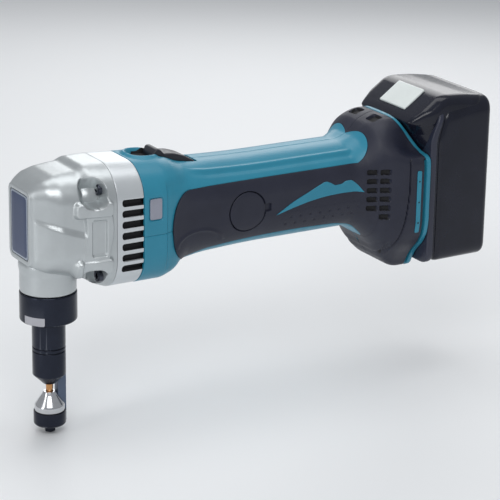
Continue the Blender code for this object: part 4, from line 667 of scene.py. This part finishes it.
def make_body():
    """Teal housing halves, and the soft covers that lie in them, each a patch of the body's skin."""
    for name, side in SIDES:
        # Upper teal band, and its lobe past the cover's level edge
        x, x_lift = rows_along(FRONT_X, LOBE_X, 330, last=False)
        # Faces the relief sinks over 3 mm, in the switch's slot, take the black as painted shade
        teal = strip(x, x_lift, 0 * x, share_at(x, cover_top(x)), 110, side, teal_relief, shade_below=-3.0)
        teal += top_patch(lambda f: LOBE_X + 0 * f, lobe_end, 40.0, (60, 40), False, True, side, teal_relief)
        # Lower teal band
        x, x_lift = rows_along(FRONT_X, TIP_X, 380, last=False)
        teal += strip(x, x_lift, share_at(x, cover_bottom(x)), 0 * x + 1.0, 60, side, teal_relief)
        # Backing under both, in black: painted shade for the hollow inside
        x = np.linspace(FRONT_X + 0.4, SLOPE_HEAD_X - 1.0, 90)[:, None]
        share = np.linspace(0, 1, 60)[None]
        depth = np.full((90, 60), -4.0)
        depth[1:-1, 1:-1] = BASE
        teal += [(skin(x, share, depth, side), False, 1), (skin(x, share, -4.0, side), False, 1)]
        add(f"housing_{name}_shell", teal + [rear_frame(side)], (TEAL, PAINTED_SHADE_BLACK), "tool", "teal_plastic",
            f"housing_{name}")

        # Soft cover below its level edge
        x = np.concatenate([rows_along(COVER_FRONT, LOBE_X, 330, first=False, last=False, bunch=0.75)[0],
                            np.linspace(LOBE_X, COVER_REAR, 90)[1:]])
        x_lift = np.where(x >= COVER_REAR - 1e-6, RIM_LIFT[1], 0.0)
        x, x_lift = np.append(x, x[-1]), np.append(x_lift, BASE)
        top_share = share_at(x, cover_top(x))
        low_share = np.where(x < TIP_X, share_at(x, cover_bottom(np.minimum(x, TIP_X))), 1.0)
        front = x < LOBE_X + 1e-6
        soft = []
        # Faces the relief sinks over 2 mm, the vents and the lug hole, take the black as painted shade
        for part, rims in ((front, (True, True)), (~front | np.isclose(x, LOBE_X), (False, True))):
            soft += strip(x[part], x_lift[part], top_share[part], low_share[part], 150, side, cover_relief,
                          rims, -2.0)
        # And its arch over the rear
        # Here too, faces sunk over 2 mm take the black as painted shade
        soft += top_patch(lobe_end, lambda f: rim_end(f * REAR_SHARE) - RIM_WIDE, 30.0, (70, 70), True, False,
                          side, cover_relief, -2.0)
        add(f"grip_cover_{name}_skin", soft, (RUBBER, PAINTED_SHADE_BLACK), "tool", "grip_rubber", f"grip_cover_{name}")


# Head and ring ------------

HEAD_STATIONS = HEAD_LOW[0] + np.array([0.3, 1.9, 5.0, 9.3, 16.3, 25.0, 31.3, 36.3, 43.0, 50.5])
HEAD_HALF_WIDTHS = [14.5, 16.4, 19.0, 22.6, 26.2, 27.4, 28.4, 30.0, 30.9, 31.0]
HEAD_TOPS = [29.0, 30.8, 33.0, 35.0, 37.2, 38.2, 38.7, 41.0, 41.2, 41.0]
HEAD_BOTTOMS = [17.5, 18.8, 19.8, 21.0, 23.0, 25.4, 28.6, 31.4, 35.2, 38.2]
HEAD_CORNERS = [4.5, 6.2, 8.4, 11.0, 16.0, 17.4, 19.0, 21.0, 22.0, 22.0]
PLATE_HALF, PLATE_FOOT, PLATE_HEAD = 11.3, AXIS_Z - 14.4, AXIS_Z + 26  # the nose plate
SCREW_X, SCREW_Y, SCREW_LIFT = 22.8, 20.3, 27.5  # the head screws' faces; their height is either way
NECK_R = NUT_HIGH[1] - 0.3
RING_SECTION_X = 31.6  # where the head's section is the ring's


def head_skin(x, share, lift, relief=None):
    """Head surface; share -1 to 1 runs from the keel over the ridge and back, right side first."""
    sizes = (facets(HEAD_STATIONS, row, x, 1.4) for row in
             (HEAD_HALF_WIDTHS, HEAD_TOPS, HEAD_BOTTOMS, HEAD_CORNERS))
    y, z, n = section(*sizes, np.abs(share))
    if relief:
        lift = lift + relief(x + 0 * y, y, z)
    y, z = y + np.sin(n) * lift, z + np.cos(n) * lift
    return np.stack(np.broadcast_arrays(x, -np.sign(share) * np.maximum(y, 0), z + AXIS_Z), -1)


def head_relief(x, y, height):
    """Screw scoops, the bosses and the panelled pilaster between them, and the barrel of the neck."""
    side = ease((y - 12) / 4)
    front = 1.3 * np.sin((height + 4) / 6.0)
    post = within(box_distance(x - front, height, (10.6, -24), (27.6, 16), 1.5), 0.9)
    panel = within(box_distance(x, height, (15.2, -11.0), (24.0, 11.5), 1.2), 0.7)
    change = 2.4 * post - 2.2 * panel
    for low, high in ((13.4, 22.6), (-22.4, -13.0)):
        boss = within(box_distance(x, height, (5.0, low), (28.4, high), 2.6), 1.1)
        change = np.maximum(change, 3.6 * boss)
    change *= side
    for lift in (SCREW_LIFT, -SCREW_LIFT):
        bore = np.hypot(y - SCREW_Y, height - lift)
        pocket = box_distance(x, height, (8.6, lift - 8.2), (SCREW_X + 2.6, lift + 8.2), 7.0)
        depth = 9.8 * ease((x - 7.0) / 8.0) * within(pocket, 0.7) * (bore < 16)
        change = change * (1 - within(pocket, 0.9)) - depth
    barrel = np.sqrt(np.clip(1 - (x / 16.5) ** 2, 0, 1)) * ease((8.5 - 0.35 * x - height) / 4.5)
    change += 1.9 * barrel * side * (x < 17) * (1 - post)
    return change


def make_head():
    """The casting, whose front caps step in along the outline's normals to a recess, and its neck."""
    x = np.unique(np.concatenate([np.linspace(HEAD_LOW[0] + 0.3, 8, 60), np.linspace(8, 31.5, 84)]))
    share = np.linspace(-1, 1, 520, endpoint=False)
    body = head_skin(x[:, None], share[None], 0.0, head_relief)
    first = body[0]
    loop = first[:, 1:]
    normal = loop_normals(loop)
    caps = []
    for inset, step in ((2.9, 0.55), (2.9, -0.15), (2.2, -0.32), (1.2, -0.32), (0.5, -0.2), (0.12, 0.05)):
        ring = loop - normal * inset
        caps.append(np.column_stack([np.full(len(ring), HEAD_LOW[0] + 0.3 + step), ring]))
    centre = np.broadcast_to([HEAD_LOW[0] + 0.85, 0.0, AXIS_Z + 5.8], first.shape)
    rear_edge = body[-1] * [1, 0.99, 1]
    back = body[-1] * [1, 0, 0] + [0, 0, AXIS_Z]
    grid = np.concatenate([[centre], caps, body, [rear_edge], [back]])
    foot = NUT_HIGH[2]
    neck = bevelled([(0, foot + 0.3), (NECK_R, foot + 0.3), (NECK_R, 106), (NECK_R + 0.5, 109),
                     (NECK_R + 0.7, 112), (NECK_R - 1, 116), (0, 116)], 1.2, 5)
    spigot = [(0, foot - 5.5), (15.2, foot - 5.5), (15.2, foot + 1), (0, foot + 1)]
    grids = [(grid, True, 0), (revolved(neck), True, 0), (revolved(spigot), True, 0)]
    add("gear_housing_skin", grids, (CAST,), "tool", "cast_aluminium", "gear_housing", sharp=38)

    plate = rounded_loop([(-PLATE_HALF, PLATE_FOOT), (PLATE_HALF, PLATE_FOOT), (PLATE_HALF, PLATE_HEAD),
                          (-PLATE_HALF, PLATE_HEAD)], 2.6, 6)
    face = plate.mean(0) + (plate - plate.mean(0)) * [0.90, 0.94]
    raised = pillow(face, HEAD_LOW[0] - 0.1, HEAD_LOW[0] + 0.7, 0.2, "X")
    add("nose_plate_face", [(pillow(plate, HEAD_LOW[0] + 0.05, HEAD_LOW[0] + 0.8, 0.25, "X"), True, 1),
                            (raised, True, 0)], (SLATE, PLATE_EDGE), "tool", "slate_plate", "nose_plate")


def ring_relief(x, y, height):
    """Seven slots a side, open at the rear edge."""
    distance = 99.0 + 0 * x
    for row in range(7):
        z = RING_LOW[2] - AXIS_Z + 15.8 + row * 7.0
        slot = box_distance(x, height, (RING_HIGH[0] - 14.6, z - 2.0), (RING_HIGH[0] + 9, z + 2.0), 1.5)
        distance = np.minimum(distance, slot)
    return -2.9 * within(distance, 0.2) * (y > 20) - 0.35 * ease((x - RING_HIGH[0] + 0.5) / 0.5)


def make_ring():
    """The head's rear section carried back, its top falling 2.8 % to the rear, with an inner wall."""
    x = RING_LOW[0] + np.array([0, 0.15, 0.4])
    x = np.concatenate([x, np.linspace(RING_LOW[0] + 1, RING_HIGH[0], 90)])
    share = np.linspace(-1, 1, 760, endpoint=False)
    edge = np.zeros((len(x), 1))
    edge[:2, 0] = -0.4, -0.12

    def band(lift):
        sheet = head_skin(np.full((len(x), 1), RING_SECTION_X), share[None], lift)
        sheet[..., 0] = x[:, None]
        return sheet

    outer = band(edge)
    change = ring_relief(outer[..., 0], np.abs(outer[..., 1]), outer[..., 2] - AXIS_Z)
    outer, inner = band(edge + change), band(edge - 3.4)
    for sheet in (outer, inner):
        above = np.maximum(sheet[..., 2] - AXIS_Z, 0)
        sheet[..., 2] -= above * 0.028 * (sheet[..., 0] - x[0]) / (x[-1] - x[0])
    grid = np.concatenate([outer, inner[::-1], outer[:1]])
    # Painted shade: the slots' faces, sunk over 0.9 mm, take the black second finish, which stands in for the
    # shade inside them
    dark = np.zeros(grid.shape[:2], bool)
    dark[:len(x)] = change < -0.9
    dark |= np.roll(dark, -1, 1)
    add("vent_ring_skin", [(grid, True, dark[:-1])], (SATIN, PAINTED_SHADE_BLACK), "tool", "satin_aluminium", "vent_ring")


def socket_screw(name, x, y, z, stands_for, turn=0.0):
    """Round head with a hexagon socket, facing the front."""
    angle = np.linspace(0, 2 * np.pi, 72, endpoint=False)
    hexagon = 1.62 / np.cos((angle + turn + np.pi / 6) % (np.pi / 3) - np.pi / 6)
    rows = [(0, 2.6), (hexagon * 0.98, 2.6), (hexagon, 0.3), (hexagon + 0.25, 0), (3.35, 0), (3.65, 0.12),
            (3.8, 0.45), (3.8, 4.2), (0, 4.2)]
    grid = np.stack([np.stack([0 * angle + x + depth, y + radius * np.cos(angle), z + radius * np.sin(angle)],
                              -1) for radius, depth in rows])
    add(name, [(grid, True, 0)], (OXIDE,), "tool", "black_screws", stands_for)


# Cutting head ------------

def make_cutting_head():
    """Turned pieces: bevelled profiles about the punch's axis. Two flats are cut across the nut's foot."""
    low, high, r = NUT_LOW[2], NUT_HIGH[2], NUT_HIGH[1]
    flat_top = low + 6.5
    foot = [(11.0, low), (r - 2.4, low), (r - 0.5, low + 0.9), (r, low + 1.5), (r, low + 3)]
    crest = [(r, high - 3), (r, high - 0.6), (r - 0.6, high), (11.2, high)]
    profile = np.concatenate([[(10.7, low + 0.3), (10.7, low)], bevelled(foot, 0.5),
                              [(r, flat_top - 0.02), (r, flat_top + 0.02)], bevelled(crest, 0.5),
                              [(10.7, high), (10.7, low + 0.3)]])
    nut = revolved(profile, 240)
    angle = np.arctan2(nut[..., 1], nut[..., 0])
    radius = np.hypot(nut[..., 0], nut[..., 1])
    away = (angle - math.radians(34) + np.pi / 2) % np.pi - np.pi / 2
    cut = (radius > (r - 1.5) / np.cos(away)) & (np.abs(away) < 0.6) & (profile[:, 1] < flat_top)[:, None]
    keep = np.where(cut, (r - 1.5) / np.cos(away) / np.maximum(radius, 1e-9), 1.0)
    nut[..., :2] *= keep[..., None]
    bare = cut[:-1] & np.roll(cut[:-1], -1, 1) & cut[1:]
    add("lock_nut_skin", [(nut, True, bare)], (OXIDE, STEEL), "lock_nut", "black_oxide", "lock_nut")

    r = 10.4
    top, flange = HOLDER_HIGH[2], NUT_LOW[2] + 8.8
    tube = bevelled([(0, 31.9), (3.4, 31.9), (3.9, 32.1), (r, 38.5), (r, 53.9), (r - 0.6, 54.1),
                     (r - 0.6, 54.5), (r, 54.7), (r, 56.5), (r - 0.6, 56.7), (r - 0.6, 57.1), (r, 57.3),
                     (r, flange), (12.3, flange + 0.2), (12.3, top), (0, top)], 0.35)
    strut = rounded_loop([(10.4, 5.6), (10.4, 44.0), (7.4, 44.0), (4.6, 35.4), (4.6, 5.6)], 0.5)
    cup = bevelled([(0, 5), (9.2, 5), (10.1, 6), (10.1, 14), (9.5, 14), (9.5, 13), (0, 13)])
    grids = [(revolved(tube), True, 0), (pillow(strut, -2.4, 2.4, 0.3), True, 1), (revolved(cup), True, 0)]
    add("die_holder_skin", grids, (OXIDE, STRUT), "die_holder", "black_oxide", "die_holder")

    cone = bevelled([(0, 22), (2.35, 22), (2.35, 26.7), (3.9, 26.7), (4.1, 26.3), (5, 24.5), (9, 18.5),
                     (9.4, 17.6), (9.4, 14.3), (0, 14.3)], 0.3)
    add("die_skin", [(revolved(cone), True, 0)], (GROUND,), "die_holder", "ground_steel", "die")
    angle = np.radians(np.arange(6) * 60 + 12)
    hexagon = rounded_loop(3.6 * np.stack([np.cos(angle), np.sin(angle)], -1), 0.3)
    screw = pillow(hexagon, 0.0, 4.7, 0.5, "Z")
    add("die_screw_skin", [(screw, True, 0)], (OXIDE,), "die_holder", "black_screws", "die_screw")
    rod = bevelled([(0, PUNCH_LOW[2]), (2.2, PUNCH_LOW[2]), (2.2, 40.4), (4.4, 41.6), (4.4, PUNCH_HIGH[2]),
                    (0, PUNCH_HIGH[2])], 0.15, 2)
    add("punch_skin", [(revolved(rod, 64), True, 0)], (BRONZE,), "punch", "punch_bronze", "punch")


# Trim, switch and covers ------------

def on_skin(grid, side):
    """Lays a grid of (x, depth, z) on the body's side: depth is measured out from its surface."""
    share = share_at(grid[..., 0], grid[..., 2] - AXIS_Z)
    y = outline(grid[..., 0], share)[0]
    return np.stack([grid[..., 0], side * (grid[..., 1] - y), grid[..., 2]], -1)


LEAF_TOP = ((-21, -5.2), (-9, 1.6), (3, 6.8), (11, 10.2), (15.5, 11.6), (19, 10.4), (23, 8.4), (27, 8.6),
            (31, 10.2), (34, 10.2), (38, 7.8), (44, 1.2))
LEAF_FOOT = ((-21, -5.2), (-8, -2.0), (5, 0.6), (17, 2.0), (27, 2.4), (36, 2.2), (44, 1.2))


def leaf(side):
    """The wavy accent: a smooth curve through its top points over one through its lower ones."""
    x = np.linspace(LEAF_TOP[0][0], LEAF_TOP[-1][0], 160)
    top, foot = (smooth_through(*np.array(line).T, x) for line in (LEAF_TOP, LEAF_FOOT))
    t = np.concatenate([[0, 0.0], np.linspace(0.02, 0.98, 14), [1, 1.0]])
    lift = np.concatenate([[-0.9, 0.15], np.full(14, 0.35), [0.15, -0.9]])
    z = foot[:, None] + (top - foot)[:, None] * t
    outer = np.stack(np.broadcast_arrays(x[:, None] + GRIP_X + 63.5, lift[None], z + AXIS_Z), -1)
    under = outer * [1, 0, 1] + [0, -0.9, 0]
    return [(on_skin(outer, side), False, 0), (on_skin(under, side), False, 0)]


def make_trim():
    """Switch lever, lenses, brush covers, accents and side bars; those on a side follow its surface."""
    lever = rounded_loop([(68.5, 158.6), (99, 158.6), (98.8, 163.6), (90.5, 168.2), (84, 170.4), (79.5, 171),
                          (76.8, 171), (74.6, 173.6), (72.8, 174.7), (70.4, 174.4), (68.7, 171)], 1.6, 5)
    add("switch_lever_skin", [(pillow(lever, -7.2, 7.2, 1.5, "Y", 7), True, 0)], (SWITCH,), "switch_lever",
        "switch_black", "slide_switch_lever")
    for name, side in SIDES:
        lens = rounded_loop([(LENS_LOW[0], LENS_LOW[2]), (LENS_HIGH[0], LENS_LOW[2]),
                             (LENS_HIGH[0], LENS_HIGH[2]), (LENS_LOW[0], LENS_HIGH[2])], 1.7, 5)
        add(f"indicator_lens_{name}_face", [(on_skin(pillow(lens, -1.2, -0.05, 0.5), side), True, 0)],
            (LENS,), "tool", "lens_grey", f"indicator_lens_{name}")
        disc = bevelled([(0, -1.8), (BRUSH_R, -1.8), (BRUSH_R, -0.3), (BRUSH_R - 0.5, 0.05),
                         (BRUSH_R - 3, 0.1), (0, 0.1)])
        grid = revolved(disc)[..., [0, 2, 1]] + [BRUSH_X, 0, AXIS_Z]
        add(f"brush_cover_{name}_face", [(on_skin(grid, side), True, 0)], (RUBBER,), "tool", "inner_plastic",
            f"brush_cover_{name}")
        add(f"leaf_accent_{name}", leaf(side), (TEAL,), "tool", "teal_plastic")
        x, foot, head = FLANGE_X - 8.9, AXIS_Z - 29, AXIS_Z + 13
        bar = rounded_loop([(x - 1.6, foot), (x + 1.6, foot), (x + 1.6, head), (x - 1.6, head)], 1.0)
        dot = revolved([(0, -0.2), (0.55, -0.2), (0.55, 0.6), (0, 0.6)], 20)[..., [0, 2, 1]]
        # The three dots reuse the painted-shade black
        dots = [(on_skin(dot + [x, 0.05, AXIS_Z + level], side), True, 1) for level in (6, -8, -22)]
        add(f"side_bar_{name}", [(on_skin(pillow(bar, -0.8, 0.55, 0.3, count=300), side), True, 0)] + dots,
            (TEAL, PAINTED_SHADE_BLACK), "tool", "teal_plastic")


# Battery ------------

LEAN_FOOT = AXIS_Z + 32.0  # where the battery's front starts to lean back


def crown(points):
    """Leans the case's front back above the shoulder and tilts its top down to the rear."""
    share = np.clip((points[..., 2] - CASE_LOW[2]) / (CASE_HIGH[2] - CASE_LOW[2]), 0, 1)
    back = np.clip((points[..., 0] - FLANGE_X) / (CASE_HIGH[0] - FLANGE_X), 0, 1)
    lean = 7.5 * ease((points[..., 2] - LEAN_FOOT) / 28.0) * (1 - back) ** 1.4
    points[..., 0] += lean
    points[..., 2] -= share * (6.0 * (1 - back) ** 1.5 + 0.9 * back)
    return points


def make_battery():
    """Case, cover with its hump and T rail, and button: rounded outlines carried along an axis."""
    half, low, high = 37.5, 79.0, 189.0
    loop = rounded_loop([(-half, low), (half, low), (half, high), (-half, high)], [9, 9, 11, 11], 10)
    case = crown(pillow(loop, 261.9, CASE_HIGH[0], 5.0, "X", 8, 400))
    taper = 1 - 0.016 * np.clip((case[..., 0] - 262) / 42, 0, 1)
    case[..., 1] *= taper
    add("battery_case_skin", [(case, True, 0)], (BATTERY,), "battery", "battery_black", "battery_case")
    cover = crown(pillow(loop, FLANGE_X + 0.4, 261.3, 1.3, "X", 6, 400))
    gasket = crown(pillow(loop.mean(0) + (loop - loop.mean(0)) * 0.985, 261.0, 262.2, 0.1, "X", 3, 200))
    side = rounded_loop([(260.8, 147.0), (243.4, 174.6), (246.5, 177.4), (251.6, 181.0), (264.6, 190.2),
                         (270, 191.2), (284, 190.4), (299, 188.2), (299, 166), (272, 147)],
                        [0.5, 1.5, 2, 3, 5, 4, 4, 2, 2, 2], 8)
    hump = pillow(side, -35.6, 35.6, 7.4, "Y", 12, 320)
    below, ahead = np.clip((182 - hump[..., 2]) / 16, 0, 1), np.clip((262 - hump[..., 0]) / 10, 0, 1)
    hump[..., 1] *= 1 - 0.24 * below * ahead
    tee = rounded_loop([(257, -19.7), (251.4, -19.7), (250.8, -23.6), (239.4, -23.6), (239.4, 23.6),
                        (250.8, 23.6), (251.4, 19.7), (257, 19.7)], 0.4)
    rail = pillow(tee, SLOT_FLOOR + 0.4, 154.0, 0.5, "Z")
    add("battery_cover_skin", [(cover, True, 1), (gasket, True, 0), (hump, True, 0), (rail, True, 1)],
        (BATTERY, BATTERY_SATIN), "battery", "battery_black", "battery_cover")
    start, end = np.array([249.6, 179.4]), np.array([266.0, 191.0])
    along = (end - start) / np.linalg.norm(end - start)
    over = np.array([-along[1], along[0]])
    start, end = start + along * 0.6, end - along * 0.4
    loop = rounded_loop([start - over * 2, end - over * 2, end + over * 1.3, start + over * 1.3],
                        [0.3, 0.3, 0.9, 0.9], 5)
    add("battery_button_skin", [(pillow(loop, -14.6, 14.6, 1.1, "Y", 6), True, 0)], (BUTTON,),
        "release_button", "button_grey", "battery_release_button")


# Camera, lights and floor ------------

AZIMUTH, ELEVATION, ROLL = math.radians(-31.0), math.radians(18.5), math.radians(1.0)
FOCAL = 4.4  # focal length over the frame's width
DISTANCE = 1375.0
SHIFT = (-0.40, -0.36)  # of the part's origin from the middle of the frame, in frame widths


def make_camera():
    """A long lens on the left front, aimed so that the part's origin falls low on the left."""
    a, e = -AZIMUTH, ELEVATION
    forward = np.array([math.sin(a) * math.cos(e), math.cos(a) * math.cos(e), -math.sin(e)])
    right = np.array([math.cos(a), -math.sin(a), 0.0])
    up = np.cross(right, forward)
    turned = (right * math.cos(ROLL) + up * math.sin(ROLL), up * math.cos(ROLL) - right * math.sin(ROLL))
    origin = (SHIFT[0] / FOCAL * DISTANCE, SHIFT[1] / FOCAL * DISTANCE, DISTANCE)
    where = -(origin[0] * turned[0] + origin[1] * turned[1] + origin[2] * forward) * MM
    camera = bpy.data.objects.new("camera", bpy.data.cameras.new("camera"))
    bpy.context.scene.collection.objects.link(camera)
    camera.data.lens = FOCAL * camera.data.sensor_width
    camera.data.clip_start, camera.data.clip_end = 0.05, 20.0
    basis = Matrix([list(turned[0]), list(turned[1]), list(-forward)]).transposed()
    camera.matrix_world = Matrix.Translation(Vector(where)) @ basis.to_4x4()
    bpy.context.scene.camera = camera


def add_light(name, at, target, size, power):
    """A rectangular lamp that faces its target."""
    data = bpy.data.lights.new(name, "AREA")
    data.shape = "RECTANGLE"
    data.size, data.size_y = size
    data.energy = power
    light = bpy.data.objects.new(name, data)
    light.location = at
    light.rotation_euler = (Vector(target) - Vector(at)).to_track_quat("-Z", "Y").to_euler()
    bpy.context.scene.collection.objects.link(light)


def make_studio():
    """A white floor, a pale sky and four soft lamps round the part."""
    white = finish("floor_white", (0.86, 0.87, 0.88), 0.6, grain=40, bump=0.0, tint=0.01, cloud=2.0)
    floor = bpy.data.meshes.new("floor")
    floor.from_pydata([(-6, -6, 0), (6, -6, 0), (6, 6, 0), (-6, 6, 0)], [], [(0, 1, 2, 3)])
    floor.materials.append(white)
    ground = bpy.data.objects.new("floor", floor)
    ground.location = (0, 0, -0.0004)
    bpy.context.scene.collection.objects.link(ground)
    world = bpy.data.worlds.new("studio")
    world.use_nodes = True
    sky = world.node_tree.nodes["Background"]
    sky.inputs["Color"].default_value = (0.93, 0.96, 1.0, 1)
    sky.inputs["Strength"].default_value = 0.42
    bpy.context.scene.world = world
    bpy.context.scene.view_settings.view_transform = "Standard"
    middle = (0.13, 0, 0.13)
    add_light("key", (-0.35, -0.75, 0.95), middle, (0.7, 0.5), 4.6)
    add_light("top", (0.25, 0.10, 1.05), middle, (0.9, 0.5), 3.0)
    add_light("left_strip", (-1.0, -0.15, 0.35), middle, (0.25, 0.9), 2.2)
    add_light("back", (0.7, 0.8, 0.6), middle, (0.8, 0.6), 3.0)


make_camera()
make_studio()
finish_nodes()
make_body()
make_head()
make_ring()
for number, (y, lift) in enumerate(((-1, 1), (-1, -1), (1, 1), (1, -1)), 1):
    socket_screw(f"head_screw_{number}", SCREW_X, y * SCREW_Y, AXIS_Z + lift * SCREW_LIFT,
                 f"gear_housing_screw_{number}", 0.3 * number)
make_cutting_head()
make_trim()
make_battery()
